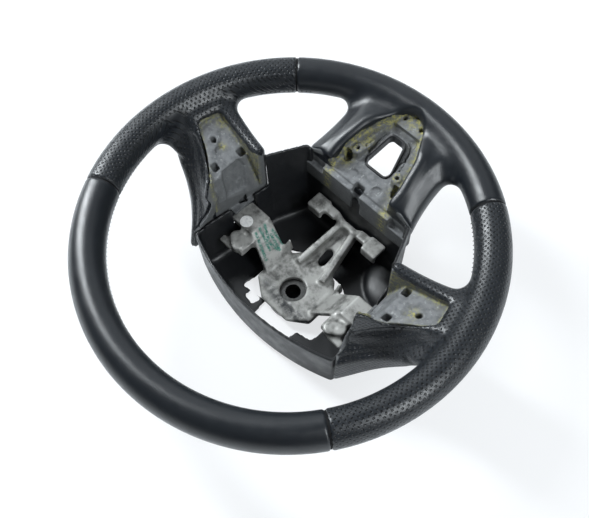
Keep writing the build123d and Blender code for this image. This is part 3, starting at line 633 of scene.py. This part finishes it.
@dataclass
class LeatherWrap:
    """The four leather sections that are sewn round the rim and the spokes, in millimetres."""

    rim_radius: float = 173.0
    rim_height: float = 118.0
    grip_radius: float = 16.9
    seam_gap: float = 0.3
    seam_low_right: float = 42.9
    seam_top_right: float = 118.7
    seam_top_left: float = 235.3
    seam_low_left: float = 321.8
    hollow: float = 8.0
    thickness: float = 2.4
    first_voxel: float = 1.4
    closing_voxel: float = 1.8
    skin_voxel: float = 1.3
    core_voxel: float = 2.0
    section_voxel: float = 1.15
    welt_depth: float = 1.1
    welt_half_turn: float = 0.7
    seam_pull: float = 1.1
    seam_width: float = 1.3
    inner_step: float = 8.0
    level_radius: float = 157.0
    wall_limit: float = 0.62
    lip_height: float = 2.4
    lip_end: float = -152.0
    lip_fade: float = 14.0
    lip_depth: float = 45.0
    lip_width: float = 5.0
    wall_facing: Span = (0.59, 0.807)
    under_facing: Span = (0.2, -0.98)
    wall_hub: float = 95.0
    wall_rim: float = 141.0
    wall_crest: Span = (100.0, 118.0)
    wall_crease: Span = (56.0, 90.0)
    wall_foot: Span = (23.0, 72.0)
    wall_offset: Span = (65.0, 89.0)
    wall_scoop: float = 7.0
    wall_groove: float = 3.0
    wall_flare: float = 7.0
    wall_sag: float = 6.0
    wall_depth: float = 24.0
    wall_fade: float = 22.0
    wall_end: float = 158.0
    wall_end_fade: float = 16.0
    scoop_middle: float = 0.36
    scoop_loss: float = 0.5
    scoop_pinch: float = 2.4
    groove_width: float = 2.4
    flare_start: float = 0.12
    flare_run: float = 0.7
    cover_outline: Pairs = (
        (94.3, 41.3), (60, 50), (30, 57), (0, 59.3), (-30, 57), (-60, 50), (-94.3, 41.3),
        (-81.3, -50), (-65.2, -88.3), (65.2, -88.3), (81.3, -50))
    panel_outline: Pairs = (
        (60, -39), (81, -39), (140.35, -46.96), (145.5, -24.5), (90.2, 10.6), (60, 10.6))
    panel_floor: Pairs = (
        (144.6, 102), (144.6, 170), (55, 170), (55, 40), (84, 40), (103, 86))
    recess_outline: Pairs = (
        (34.5, -77.5), (-34.5, -77.5), (-34.5, -103), (-28.5, -131), (-12.5, -160), (0, -166),
        (12.5, -160), (28.5, -131), (34.5, -103))
    recess_floor: Pairs = ((-60, 74), (-60, 170), (-168, 170), (-168, 112), (-140, 99))
    recess_span: Span = (20.0, 190.0)
    window_span: Span = (-40.0, 190.0)
    hub_span: Span = (-40.0, 200.0)
    wedge_span: Span = (-60.0, 220.0)
    wedge_reach: float = 260.0
    wedge_step: float = 20.0
    panel_corner: float = 4.0
    recess_corner: float = 6.0
    window_corner: float = 9.0
    view_reach: float = 80.0
    window_flare: float = 8.0
    window_outline: Pairs = (
        (16.8, -109.2), (-16.8, -109.2), (-9.3, -142.8), (9.3, -142.8))

    def envelope(self) -> bpy.types.Object:
        """Return the smooth outside of the padded wheel as one closed shape."""
        names = ["leather_top", "leather_right", "leather_left", "leather_bottom", "foam_moulding",
                 "armature", "rim_ring", "window_liner"]
        body = Bench.copy_nodes("wrap", names)
        Bench.voxel(body, self.first_voxel)
        Bench.carve(body, Bench.prism("hub_space", list(self.cover_outline), *self.hub_span), Carve.REMOVE)
        Bench.swell(body, self.hollow)
        Bench.voxel(body, self.closing_voxel)
        Bench.soften(body, repeats=6)
        Bench.swell(body, -self.hollow)
        Bench.soften(body, repeats=4)
        Bench.voxel(body, self.skin_voxel)
        Bench.soften(body, repeats=6)
        return body

    def cutters(self) -> list[bpy.types.Object]:
        """Return the shapes that open the recesses of the spokes."""
        cuts = []
        for side in (1, -1):
            plan = Bench.mirrored(self.panel_outline, side)
            cut = Bench.prism("panel_cut", plan, *self.recess_span, self.panel_corner)
            view = [(side * x, z) for x, z in self.panel_floor]
            Bench.carve(cut, Bench.side_prism("panel_view", view, self.view_reach, False), Carve.KEEP)
            cuts.append(cut)
        low = Bench.prism("recess_cut", list(self.recess_outline), *self.recess_span, self.recess_corner)
        view = Bench.side_prism("recess_view", list(self.recess_floor), self.view_reach, True)
        Bench.carve(low, view, Carve.KEEP)
        cuts.append(low)
        cuts.append(Bench.prism("window_cut", self.flared_window(), *self.window_span, self.window_corner))
        cuts.append(Bench.prism("hub_cut", list(self.cover_outline), *self.hub_span))
        return cuts

    def flared_window(self) -> list[tuple[float, float]]:
        """Return the wider outline that the window has below its liner."""
        middle = sum(y for _, y in self.window_outline) / len(self.window_outline)
        grow = self.window_flare
        return [(x + math.copysign(grow, x), y + math.copysign(grow, y - middle))
                for x, y in self.window_outline]

    def wedge(self, first: float, last: float) -> bpy.types.Object:
        """Return the wedge of space between two seams, counted from six o'clock."""
        play = math.degrees(self.seam_gap / 2 / self.rim_radius)
        first, last = first + play, last - play
        steps = max(2, math.ceil((last - first) / self.wedge_step))
        angles = [math.radians(first + (last - first) * i / steps) for i in range(steps + 1)]
        rim = [(self.wedge_reach * math.sin(a), -self.wedge_reach * math.cos(a)) for a in angles]
        return Bench.prism("wedge", [(0.0, 0.0)] + rim, *self.wedge_span)

    def edge_distance(self, spots: np.ndarray) -> np.ndarray:
        """Return how far plan points lie from the edges of the recesses."""
        best = np.full(len(spots), 1e6)
        mirrored = tuple((-x, y) for x, y in self.panel_outline)
        recess = self.recess_outline[1:] + self.recess_outline[:1]
        for outline in (self.panel_outline[1:5], mirrored[1:5], recess):
            for start, end in zip(outline, outline[1:]):
                best = np.minimum(best, Bench.line_distance(spots, start, end))
        return best

    def scoop_walls(self, body: bpy.types.Object, deeper: float = 0.0) -> None:
        """Scoop the upper walls of the side spokes, fold a groove below them and flare the lower strips.

        Args:
            body: Leather or foam to change.
            deeper: Distance in millimetres that a piece below the leather moves further in.
        """
        points = Bench.points(body)
        reach = np.abs(points[:, 0])
        along = np.clip((reach - self.wall_hub) / (self.wall_rim - self.wall_hub), 0, 1)
        crease = self.wall_crease[0] + along * (self.wall_crease[1] - self.wall_crease[0])
        foot = self.wall_foot[0] + along * (self.wall_foot[1] - self.wall_foot[0])
        crest = self.wall_crest[0] + along * (self.wall_crest[1] - self.wall_crest[0])
        climb = (points[:, 2] - crease) / (crest - crease)
        surface = self.wall_offset[1] - np.clip(climb, 0, 1) * (self.wall_offset[1] - self.wall_offset[0])
        out = reach * self.wall_facing[0] + points[:, 1] * self.wall_facing[1] - surface
        near = Bench.ease((out + self.wall_depth) / self.wall_fade)
        near *= np.clip((self.wall_end - np.hypot(points[:, 0], points[:, 1])) / self.wall_end_fade, 0, 1)
        scoop = self.wall_scoop * np.clip(1 - (self.scoop_pinch * (climb - self.scoop_middle)) ** 2, 0, 1)
        scoop *= 1 - self.scoop_loss * along
        groove = self.wall_groove * np.exp(-(((points[:, 2] - crease) / self.groove_width) ** 2))
        below = np.clip((crease - points[:, 2]) / (crease - foot), 0, 1)
        below *= np.sin(math.pi * (self.flare_start + self.flare_run * along))
        inward = near * (scoop + groove + deeper - self.wall_flare * below)
        points[:, 0] -= np.sign(points[:, 0]) * inward * self.wall_facing[0]
        points[:, 1] -= inward * self.wall_facing[1]
        points[:, 2] -= near * self.wall_sag * below
        Bench.put(body, points)

    def raise_lips(self, body: bpy.types.Object) -> None:
        """Raise the leather softly along the edges of the recesses."""
        points, normals = Bench.points(body), Bench.normals(body)
        far = self.edge_distance(points[:, :2])
        lift = self.lip_height * np.exp(-(((far - self.lip_width) / self.lip_width) ** 2))
        lift *= np.clip(normals[:, 2] * 2, 0, 1) * (points[:, 2] > self.rim_height - self.lip_depth)
        lift *= np.clip((points[:, 1] - self.lip_end) / self.lip_fade, 0, 1)
        Bench.put(body, points + normals * lift[:, None])

    def roll_seams(self, piece: bpy.types.Object, seams: Span) -> None:
        """Pull the leather in where two sections meet."""
        points = Bench.points(piece)
        angle = np.arctan2(points[:, 0], -points[:, 1])
        out = np.hypot(points[:, 0], points[:, 1])
        pull = np.zeros(len(points))
        for seam in seams:
            turn = (angle - math.radians(seam) + math.pi) % (2 * math.pi) - math.pi
            pull = np.maximum(pull, self.seam_pull * np.exp(-((out * np.abs(turn) / self.seam_width) ** 2)))
        middle = np.stack([self.rim_radius * np.sin(angle), -self.rim_radius * np.cos(angle),
                           np.full(len(points), self.rim_height)], axis=1)
        inward = middle - points
        inward /= np.linalg.norm(inward, axis=1)[:, None] + 1e-9
        Bench.put(piece, points + inward * pull[:, None])

    def wrap_places(self, piece: bpy.types.Object, middle: float) -> None:
        """Store the place of each point along and across the leather, for the rows of holes."""
        points = Bench.points(piece)
        angle = np.arctan2(points[:, 0], -points[:, 1]) - math.radians(middle) + math.pi
        angle = angle % (2 * math.pi) - math.pi
        out = np.hypot(points[:, 0], points[:, 1])
        drop = self.rim_height - points[:, 2]
        section = np.arctan2(-drop, out - self.rim_radius)
        inner = self.rim_radius - self.inner_step
        on_spoke = out < inner
        spoke_across = self.grip_radius * 2 * math.pi / 3 + inner - out
        across = np.where(on_spoke, spoke_across, self.grip_radius * np.abs(section))
        along = angle * np.minimum(out, self.level_radius) * self.rim_radius / self.level_radius
        normals = Bench.normals(piece)
        wall = on_spoke & (np.abs(normals[:, 2]) < self.wall_limit)
        facing = np.where(normals[:, 1:2] > 0, self.wall_facing, self.under_facing)
        plan = np.stack([np.abs(points[:, 0]), points[:, 1]], axis=1)
        level = plan[:, 0] * facing[:, 1] - plan[:, 1] * facing[:, 0]
        along = np.where(wall, level, along)
        across = np.where(wall, drop + (plan * facing).sum(axis=1), across)
        Bench.mark(piece, "wrap", np.stack([along, across, np.zeros(len(points))], axis=1))

    def welts(self, lining: bpy.types.Object) -> None:
        """Cut the dark strips that close the seams from below."""
        strips = []
        for seam in (self.seam_low_right, self.seam_top_right, self.seam_top_left, self.seam_low_left):
            strip = Bench.duplicate(lining, "seam_strip")
            Bench.carve(strip, self.wedge(seam - self.welt_half_turn, seam + self.welt_half_turn), Carve.KEEP)
            strips.append(strip)
        bpy.data.objects.remove(lining)
        Bench.dress(Bench.join(strips, "seam_strips"), SeamThread().material(), Slot.SMOOTH, [])

    def build(self) -> list[bpy.types.Object]:
        """Return the four leather sections."""
        body = self.envelope()
        self.scoop_walls(body)
        core = Bench.duplicate(body, "wrap_core")
        Bench.swell(core, -self.thickness)
        Bench.voxel(core, self.core_voxel)
        lining = Bench.duplicate(body, "seam_lining")
        Bench.swell(lining, -self.welt_depth)
        self.raise_lips(body)
        Bench.soften(body, repeats=4)
        for cut in self.cutters():
            Bench.carve(body, cut, Carve.REMOVE)
        Bench.carve(body, core, Carve.REMOVE)
        self.welts(lining)
        LOG.info("leather shell: %d faces", len(body.data.polygons))
        sections = {
            "leather_right": (self.seam_low_right, self.seam_top_right),
            "leather_top": (self.seam_top_right, self.seam_top_left),
            "leather_left": (self.seam_top_left, self.seam_low_left),
            "leather_bottom": (self.seam_low_left - 360, self.seam_low_right),
        }
        made = []
        for name, seams in sections.items():
            piece = Bench.duplicate(body, name.replace("leather", "wrap"))
            Bench.carve(piece, self.wedge(*seams), Carve.KEEP)
            Bench.voxel(piece, self.section_voxel)
            Bench.soften(piece, repeats=3)
            self.roll_seams(piece, seams)
            self.wrap_places(piece, sum(seams) / 2)
            made.append((name, piece))
        bpy.data.objects.remove(body)
        smooth, punched = SmoothLeather().material(), PerforatedLeather().material()
        for name, piece in made:
            if name in ("leather_top", "leather_bottom"):
                Bench.dress(piece, smooth, Slot.SMOOTH, [name])
            else:
                Bench.dress(piece, punched, Slot.PERFORATED, [name])
        return [piece for _, piece in made]


@dataclass
class FoamBays:
    """The grey foam seats that show in the recesses of the three spokes, in millimetres."""

    wrap: LeatherWrap
    voxel: float = 0.85
    region_span: Span = (-20.0, 170.0)
    pad_span: Span = (36.0, 48.0)
    skirt_span: Span = (58.0, 85.0)
    foot_span: Span = (66.0, 77.0)
    end_span: Span = (77.0, 120.0)
    seat_sink: float = 1.6
    hollow_depth: float = 2.2
    rib_height: float = 1.6
    press_edge: float = 0.8
    ring_height: float = 0.9
    ring_width: float = 1.3
    boss_radius: float = 4.6
    boss_height: float = 1.5
    boss_hole: float = 2.2
    boss_slope: float = 3.0
    facing_gain: float = 4.0
    low_limit: float = -78.0
    glue_floor: float = 60.0
    glue_share: Span = (1.0, 0.6)
    glue_width: Span = (4.0, 2.2)
    glue_ring: float = 3.2
    glue_limit: float = 1.3
    side_region: Pairs = ((55, -72), (152, -72), (152, 30), (120, 46), (55, 46))
    low_region: Pairs = ((-62, -172), (62, -172), (62, -72.5), (-62, -72.5))
    side_hollow: Pairs = (
        (100.5, -9.9), (94.7, -7.0), (89.8, -5.0), (87.5, -26.3), (95.4, -33.5), (100.1, -30.6))
    side_rib: Pairs = ((101.4, 6.5), (82.0, 9.5), (83.0, 2.5), (93.0, -5.0), (98.2, -6.4))
    side_hole: Span = (127.5, -24.8)
    skirts: tuple[Pairs, ...] = (
        ((-64, -85.3), (-7.4, -85.3), (-7.4, -82.8), (-64, -82.8)),
        ((2.6, -85.3), (64, -85.3), (64, -82.8), (2.6, -82.8)))
    pad_outline: Pairs = ((76, -31), (88, -31), (88, -1), (76, -1))
    block_end: Pairs = ((41, -88.2), (68, -88.2), (68, -80), (41, -80))
    notch_foot: Pairs = ((-7, -96), (7, -96), (7, -86), (-7, -86))
    basin: Pairs = ((21, -119), (-21, -119), (-15.5, -151), (15.5, -151))
    basin_depth: float = 5.0
    low_bosses: Pairs = ((24, -113), (-24, -113))
    glue_spots: tuple[Place, ...] = (
        (134.9, -43.6, 5), (117.5, -28.1, 3), (-131.2, -46.7, 5), (-122.0, -23.7, 5),
        (29, -103, 6), (-29, -105, 6), (24, -124, 7), (-21, -150, 6), (24, -145, 5), (0, -163, 8))

    @staticmethod
    def inside(spots: np.ndarray, outline: Pairs, soft: float) -> np.ndarray:
        """Return how far inside an outline plan points lie, from 0 outside to 1 past a soft edge."""
        far = np.full(len(spots), 1e6)
        within = np.zeros(len(spots), dtype=bool)
        for (x0, y0), (x1, y1) in zip(outline, outline[1:] + outline[:1]):
            far = np.minimum(far, Bench.line_distance(spots, (x0, y0), (x1, y1)))
            crosses = (y0 > spots[:, 1]) != (y1 > spots[:, 1])
            at = x0 + (spots[:, 1] - y0) * (x1 - x0) / (y1 - y0 if y1 != y0 else 1e-9)
            within ^= crosses & (spots[:, 0] < at)
        return Bench.ease(np.where(within, far, -far) / soft * 0.5 + 0.5)

    def pad_space(self, side: int) -> bpy.types.Object:
        """Return the free space over the pad at the end of an arm."""
        return Bench.prism("pad_space", Bench.mirrored(self.pad_outline, side), *self.pad_span)

    def press_side(self, piece: bpy.types.Object, side: int) -> None:
        """Press the hollow, the rib and the hole's ring into a side seat."""
        points, normals = Bench.points(piece), Bench.normals(piece)
        spots = points[:, :2] * (side, 1)
        facing = np.clip(normals[:, 2] * self.facing_gain, 0, 1)
        move = self.rib_height * self.inside(spots, self.side_rib, self.press_edge)
        move -= self.hollow_depth * self.inside(spots, self.side_hollow, self.press_edge)
        ring = np.hypot(spots[:, 0] - self.side_hole[0], spots[:, 1] - self.side_hole[1])
        move += self.ring_height * np.exp(-(((ring - self.boss_radius) / self.ring_width) ** 2))
        Bench.put(piece, points + normals * (move * facing)[:, None])

    def fit_low(self, piece: bpy.types.Object) -> None:
        """Close the gap to the tub and the foot of the notch, and lower the ends of the block."""
        parts = [Bench.prism("skirt", list(skirt), *self.skirt_span) for skirt in self.skirts]
        parts.append(Bench.prism("foot", list(self.notch_foot), *self.foot_span))
        Bench.join([piece] + parts, piece.name)
        for side in (1, -1):
            end = Bench.mirrored(self.block_end, side)
            Bench.carve(piece, Bench.prism("block_end", end, *self.end_span), Carve.REMOVE)

    def press_low(self, piece: bpy.types.Object) -> None:
        """Press the basin round the window and raise the screw bosses of the lower seat."""
        points, normals = Bench.points(piece), Bench.normals(piece)
        move = -self.basin_depth * self.inside(points[:, :2], self.basin, self.press_edge)
        for x, y in self.low_bosses:
            ring = np.hypot(points[:, 0] - x, points[:, 1] - y)
            edge = 1 + np.exp((ring - self.boss_radius) * self.boss_slope)
            move += self.boss_height / edge * (ring > self.boss_hole)
        facing = np.clip(normals[:, 2] * self.facing_gain, 0, 1)
        Bench.put(piece, points + normals * (move * facing)[:, None])

    def smear_glue(self, piece: bpy.types.Object) -> None:
        """Store where old glue sits: along the leather's edge, in spots and round the bosses."""
        points = Bench.points(piece)
        edge = self.wrap.edge_distance(points[:, :2])
        low = points[:, 1] < self.low_limit
        glue = np.where(low, *self.glue_share) * np.exp(-((edge / np.where(low, *self.glue_width)) ** 2))
        for x, y, size in self.glue_spots:
            glue = np.maximum(glue, np.exp(-((np.hypot(points[:, 0] - x, points[:, 1] - y) / size) ** 2)))
        for x, y in self.low_bosses:
            ring = np.hypot(points[:, 0] - x, points[:, 1] - y)
            glue = np.maximum(glue, self.glue_limit * np.exp(-((ring - self.glue_ring) ** 2)))
        Bench.mark(piece, "glue", np.clip(glue * (points[:, 2] > self.glue_floor), 0, self.glue_limit))

    def build(self) -> None:
        """Cut, smooth and dress the three seats."""
        material = UrethaneFoam().material()
        regions = {
            "seat_right": list(self.side_region), "seat_left": Bench.mirrored(self.side_region, -1),
            "seat_low": list(self.low_region)}
        whole = Bench.copy_nodes("foam", ["foam_moulding"])
        for name, region in regions.items():
            piece = Bench.duplicate(whole, name)
            Bench.carve(piece, Bench.prism("region", region, *self.region_span), Carve.KEEP)
            if name == "seat_low":
                self.fit_low(piece)
            else:
                Bench.carve(piece, self.pad_space(1 if name == "seat_right" else -1), Carve.REMOVE)
            Bench.voxel(piece, self.voxel)
            Bench.soften(piece, repeats=3)
            if name == "seat_low":
                self.press_low(piece)
            else:
                self.press_side(piece, 1 if name == "seat_right" else -1)
                self.wrap.scoop_walls(piece, self.seat_sink)
            Bench.soften(piece, repeats=1)
            self.smear_glue(piece)
            Bench.dress(piece, material, Slot.FOAM, ["foam_moulding"])
        bpy.data.objects.remove(whole)


@dataclass
class Casting:
    """The die cast armature with rounded edges, stains and marker strokes, in millimetres."""

    voxel: float = 0.9
    hollow: float = 1.8
    stroke_width: float = 2.0
    band_width: float = 9.0
    limb_span: Span = (38.2, 90.0)
    hidden_limb: Pairs = ((78, -34), (104, -34), (104, 4), (78, 4))
    strokes: tuple[Line, ...] = (
        ((57.6, -7.5, 35.6), (38.2, -0.8, 15.5)), ((58.6, -13.6, 36.6), (42.0, -9.8, 19.4)),
        ((58.3, -20.0, 36.2), (48.9, -15.2, 26.5)), ((50.7, -12.0, 28.4), (38.3, -16.2, 15.6)),
        ((51.9, -23.5, 29.7), (39.0, -24.7, 16.3)), ((49.8, -19.6, 27.4), (37.1, -18.4, 14.3)))
    # Lines beside the bore along which the casting is painted darker.
    band_lines: tuple[Line, ...] = (
        ((24, 12, 0), (-5, 16, 0)), ((-5, 16, 0), (-31, 15, 0)))

    @staticmethod
    def reach(points: np.ndarray, lines: tuple[Line, ...], width: float) -> np.ndarray:
        """Return 1 for points on lines through space, falling to 0 at a width from them."""
        best = np.zeros(len(points))
        for start, end in lines:
            far = Bench.line_distance(points, start, end)
            best = np.maximum(best, np.clip((width - far) / (width / 2), 0, 1))
        return best

    def build(self) -> None:
        """Round, mark and dress the casting."""
        piece = Bench.copy_nodes("casting", ["armature"])
        Bench.voxel(piece, self.voxel)
        for side in (1, -1):
            limb = Bench.mirrored(self.hidden_limb, side)
            Bench.carve(piece, Bench.prism("hidden_limb", limb, *self.limb_span), Carve.REMOVE)
        Bench.swell(piece, self.hollow)
        Bench.voxel(piece, self.voxel)
        Bench.soften(piece, repeats=3)
        Bench.swell(piece, -self.hollow)
        Bench.voxel(piece, self.voxel)
        Bench.soften(piece, repeats=4)
        points = Bench.points(piece)
        Bench.mark(piece, "paint", self.reach(points, self.strokes, self.stroke_width))
        Bench.mark(piece, "dark_band", self.reach(points, self.band_lines, self.band_width))
        Bench.dress(piece, CastMetal().material(), Slot.CASTING, ["armature"])


@dataclass
class Tub:
    """The black rear cover with its floor plate and its bulge beside the column, in millimetres."""

    voxel: float = 1.2
    floor: float = -8.4
    plate_depth: float = 2.4
    plate_corner: float = 2.0
    post_span: Span = (70.0, 96.0)
    hole_span: Span = (-20.0, 0.0)
    bulge_span: Span = (-20.0, 40.0)
    plates: tuple[Pairs, ...] = (
        ((25, -49), (32, -37), (46, -31), (62, -40), (66, -52), (60, -68), (52, -74)),
        ((41, -15), (60, -15), (60, 30), (44.5, 27.5), (41, 9.6)),
        ((-60, 43), (-60, 17), (-48, 21.5), (-30, 25), (-26.5, 43)),
        ((44.2, 26.9), (36, 43), (13.7, 39.8), (15.3, 23.1)))
    clip_hole: Pairs = ((35, 33.3), (22.9, 35.2), (20.4, 25.6), (34.4, 24.8))
    bulge_middle: Span = (-70, -81)
    bulge_size: Place = (38, 36, 12)
    bulge_sink: float = 1.0
    taper: float = 0.94
    corner_post: Pairs = ((58, -88.2), (65.4, -88.2), (67, -84.5), (58, -84.5))

    def bulge(self) -> bpy.types.Object:
        """Return the smooth dome in the corner of the tub."""
        bpy.ops.object.select_all(action="DESELECT")
        bpy.ops.mesh.primitive_uv_sphere_add(segments=48, ring_count=32, radius=1)
        made = bpy.context.object
        points = Bench.points(made) * MM * self.bulge_size
        points[:, 2] = np.maximum(points[:, 2], 0)
        Bench.put(made, points + (*self.bulge_middle, self.floor - self.bulge_sink))
        inside = [(x * self.taper, y * self.taper) for x, y in LeatherWrap.cover_outline]
        Bench.carve(made, Bench.prism("tub_inside", inside, *self.bulge_span), Carve.KEEP)
        return made

    def build(self) -> None:
        """Join, round and dress the tub."""
        piece = Bench.copy_nodes("tub", ["rear_cover", "cover_floor"])
        foot = self.floor - self.plate_depth
        parts = [Bench.prism("plate", list(plate), foot, self.floor, self.plate_corner)
                 for plate in self.plates]
        parts.append(self.bulge())
        for side in (1, -1):
            post = Bench.mirrored(self.corner_post, side)
            parts.append(Bench.prism("corner_post", post, *self.post_span))
        Bench.join([piece] + parts, piece.name)
        Bench.voxel(piece, self.voxel)
        Bench.carve(piece, Bench.prism("clip_hole", list(self.clip_hole), *self.hole_span), Carve.REMOVE)
        Bench.voxel(piece, self.voxel)
        Bench.soften(piece, repeats=3)
        Bench.dress(piece, MouldedPlastic().material(), Slot.PLASTIC, ["rear_cover", "cover_floor"])


@dataclass
class WindowLiner:
    """The short black liner round the window of the lower spoke, in millimetres."""

    view_reach: float = 60.0
    swelling: float = 0.35
    voxel: float = 0.45
    view: Pairs = ((-100, 83), (-100, 130), (-160, 130), (-160, 104), (-141, 104), (-111, 86))

    def build(self) -> None:
        """Shorten, round and dress the liner."""
        piece = Bench.copy_nodes("liner", ["window_liner"])
        Bench.carve(piece, Bench.side_prism("liner_view", list(self.view), self.view_reach, True), Carve.KEEP)
        Bench.swell(piece, self.swelling)
        Bench.voxel(piece, self.voxel)
        Bench.soften(piece, repeats=4)
        Bench.dress(piece, MouldedPlastic().material(), Slot.PLASTIC, ["window_liner"])


@dataclass
class Stitching:
    """The slanted stitches that close the leather along the inside of the rim, in millimetres."""

    pitch: float = 4.2
    half_length: float = 1.8
    half_width: float = 0.42
    lean: float = 32.0
    drop: float = 4.0
    sunk: float = 0.25
    start_share: float = 0.75
    arcs: Pairs = ((38, 58), (103, 257), (302, 322))

    def build(self, sections: list[bpy.types.Object], wrap: LeatherWrap) -> None:
        """Lay a stitch on the leather at each step and dress them as one piece.

        Args:
            sections: Leather sections that the stitches lie on.
            wrap: The wrap that gives the rim's size.
        """
        step = math.degrees(self.pitch / (wrap.rim_radius - wrap.grip_radius))
        made = []
        for first, last in self.arcs:
            for index in range(int((last - first) / step)):
                angle = math.radians(first + index * step)
                way = Vector((math.sin(angle), -math.cos(angle), 0))
                start = way * (wrap.rim_radius * self.start_share * MM)
                start.z = (wrap.rim_height - self.drop) * MM
                hits = [hit for hit in (section.ray_cast(start, way) for section in sections) if hit[0]]
                if not hits:
                    continue
                place = min((hit[1] for hit in hits), key=lambda spot: (spot - start).length)
                bpy.ops.mesh.primitive_uv_sphere_add(
                    segments=8, ring_count=6, radius=MM, location=place + way * (self.sunk * MM),
                    rotation=(math.radians(self.lean), 0, angle),
                    scale=(self.half_width, self.half_width, self.half_length))
                made.append(bpy.context.object)
        row = Bench.join(made, "stitches")
        bpy.ops.object.transform_apply(location=True, rotation=True, scale=True)
        thread = SeamThread("dark_thread", tone(8, 9, 10), tone(24, 26, 28))
        Bench.dress(row, thread.material(), Slot.SMOOTH, [])


@dataclass
class Studio:
    """White floor, soft lamps and the photograph's camera, in metres and degrees, its lens in millimetres."""

    floor_height: float = -0.011
    camera_place: Place = (-0.250564, 0.217769, 0.718435)
    camera_turn: Place = (27.0623, 1.6033, -134.7066)
    lens: float = 48.906
    sensor: float = 36.0
    lamp_colour: Place = (0.92, 0.97, 1.0)
    lamps: tuple[tuple[str, Place, Span, float], ...] = (
        ("back_sweep", (1.0, -1.15, 1.15), (2.4, 2.0), 12),
        ("left_strip", (1.03, 0.14, 0.96), (0.2, 1.0), 30),
        ("right_strip", (-1.05, -0.06, 0.98), (0.2, 0.9), 14))
    aim: Place = (0.0, 0.0, 0.06)
    floor_width: float = 12.0
    floor_sink: float = 0.0005
    paper: Colour = tone(246, 248, 250)
    pale_paper: Colour = tone(250, 251, 252)
    # Painted shadow: the floor's colour in the spot under the bore.
    painted_bore_shadow: Colour = tone(6, 6, 7)
    glow_colour: Colour = tone(251, 253, 255)
    near_limit: float = 0.01
    room_tint: Place = (0.94, 0.97, 1.0)
    floor_glow: float = 0.72
    bore_shade: Span = (0.010, 0.014)
    room_light: Pairs = ((0.0, 0.10), (1.0, 0.16), (0.30, 0.10), (0.55, 0.14))

    def floor(self) -> None:
        """Lay the pale floor that keeps the shadow, with a painted shadow spot under the bore."""
        bpy.ops.object.select_all(action="DESELECT")
        bpy.ops.mesh.primitive_plane_add(
            size=self.floor_width, location=(0, 0, self.floor_height - self.floor_sink))
        made = bpy.context.object
        made.name = "floor"
        recipe = Recipe("floor_paper")
        far = recipe.node("VectorMath", operation="LENGTH")
        recipe.feed(recipe.place, far.inputs[0])
        # Painted shadow: a dark spot under the bore, where the floor also loses its glow.
        clear = recipe.fade(far.outputs["Value"], *self.bore_shade)
        colour = recipe.blend(recipe.noise(400, detail=2), self.paper, self.pale_paper)
        colour = recipe.blend(clear, self.painted_bore_shadow, colour)
        recipe.close(colour, 0.9, None, Specular_IOR_Level=0.1)
        glow = recipe.node("Emission")
        glow.inputs["Color"].default_value = self.glow_colour
        seen = recipe.node("LightPath").outputs["Is Camera Ray"]
        mix = recipe.node("MixShader")
        share = recipe.sums("MULTIPLY", clear, self.floor_glow)
        recipe.feed(recipe.sums("MULTIPLY", seen, share), mix.inputs[0])
        recipe.feed(recipe.shader.outputs[0], mix.inputs[1])
        recipe.feed(glow.outputs[0], mix.inputs[2])
        recipe.feed(mix.outputs[0], recipe.tree.nodes["Material Output"].inputs[0])
        made.data.materials.append(recipe.material)

    def lamp(self, title: str, place: Place, size: Span, power: float) -> None:
        """Hang one soft lamp that looks at the wheel.

        Args:
            title: Name of the lamp.
            place: Its middle in metres.
            size: Its width and its height in metres.
            power: Its power in watts.
        """
        bpy.ops.object.light_add(type="AREA", location=place)
        made = bpy.context.object
        made.name = title
        made.data.shape = "RECTANGLE"
        made.data.size, made.data.size_y = size
        made.data.energy = power
        made.data.color = self.lamp_colour
        made.rotation_euler = (Vector(self.aim) - Vector(place)).to_track_quat("-Z", "Y").to_euler()

    def sky(self) -> None:
        """Fill the room with pale light."""
        world = bpy.data.worlds.new("room")
        bpy.context.scene.world = world
        world.use_nodes = True
        tree = world.node_tree
        back = tree.nodes["Background"]
        place = tree.nodes.new("ShaderNodeTexCoord")
        parts = tree.nodes.new("ShaderNodeSeparateXYZ")
        ramp = tree.nodes.new("ShaderNodeValToRGB")
        tree.links.new(place.outputs["Generated"], parts.inputs[0])
        tree.links.new(parts.outputs[2], ramp.inputs[0])
        tree.links.new(ramp.outputs[0], back.inputs[0])
        for index, (spot, light) in enumerate(self.room_light):
            stop = ramp.color_ramp.elements[index] if index < 2 else ramp.color_ramp.elements.new(spot)
            stop.position = spot
            stop.color = (*(part * light for part in self.room_tint), 1.0)

    def camera(self) -> None:
        """Stand the camera where the photograph was taken."""
        bpy.ops.object.camera_add(location=self.camera_place,
                                  rotation=tuple(math.radians(turn) for turn in self.camera_turn))
        made = bpy.context.object
        made.data.lens = self.lens
        made.data.sensor_width = self.sensor
        made.data.clip_start = self.near_limit
        bpy.context.scene.camera = made

    def build(self) -> None:
        """Set up the whole studio."""
        self.floor()
        for title, place, size, power in self.lamps:
            self.lamp(title, place, size, power)
        self.sky()
        self.camera()
        bpy.context.scene.view_settings.view_transform = "Standard"


class BareNodes:
    """CAD nodes that keep their own shape and get a finish."""

    def dress(self) -> None:
        """Give each shown CAD node its material."""
        steel = TurnedSteel().material()
        finishes = {
            "hub_insert": steel, "rim_ring": steel, "cover_screws": steel,
            "inspection_sticker": StickerPaper().material(),
        }
        for name, material in finishes.items():
            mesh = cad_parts[name].data
            mesh.materials.clear()
            mesh.materials.append(material)
            LOG.info("%s keeps its shape", name)


def main() -> None:
    """Build the pieces in order."""
    logging.basicConfig(level=logging.INFO, format="%(message)s")
    Studio().build()
    BareNodes().dress()
    wrap = LeatherWrap()
    Stitching().build(wrap.build(), wrap)
    FoamBays(wrap).build()
    Casting().build()
    Tub().build()
    WindowLiner().build()


if __name__ == "__main__":
    main()
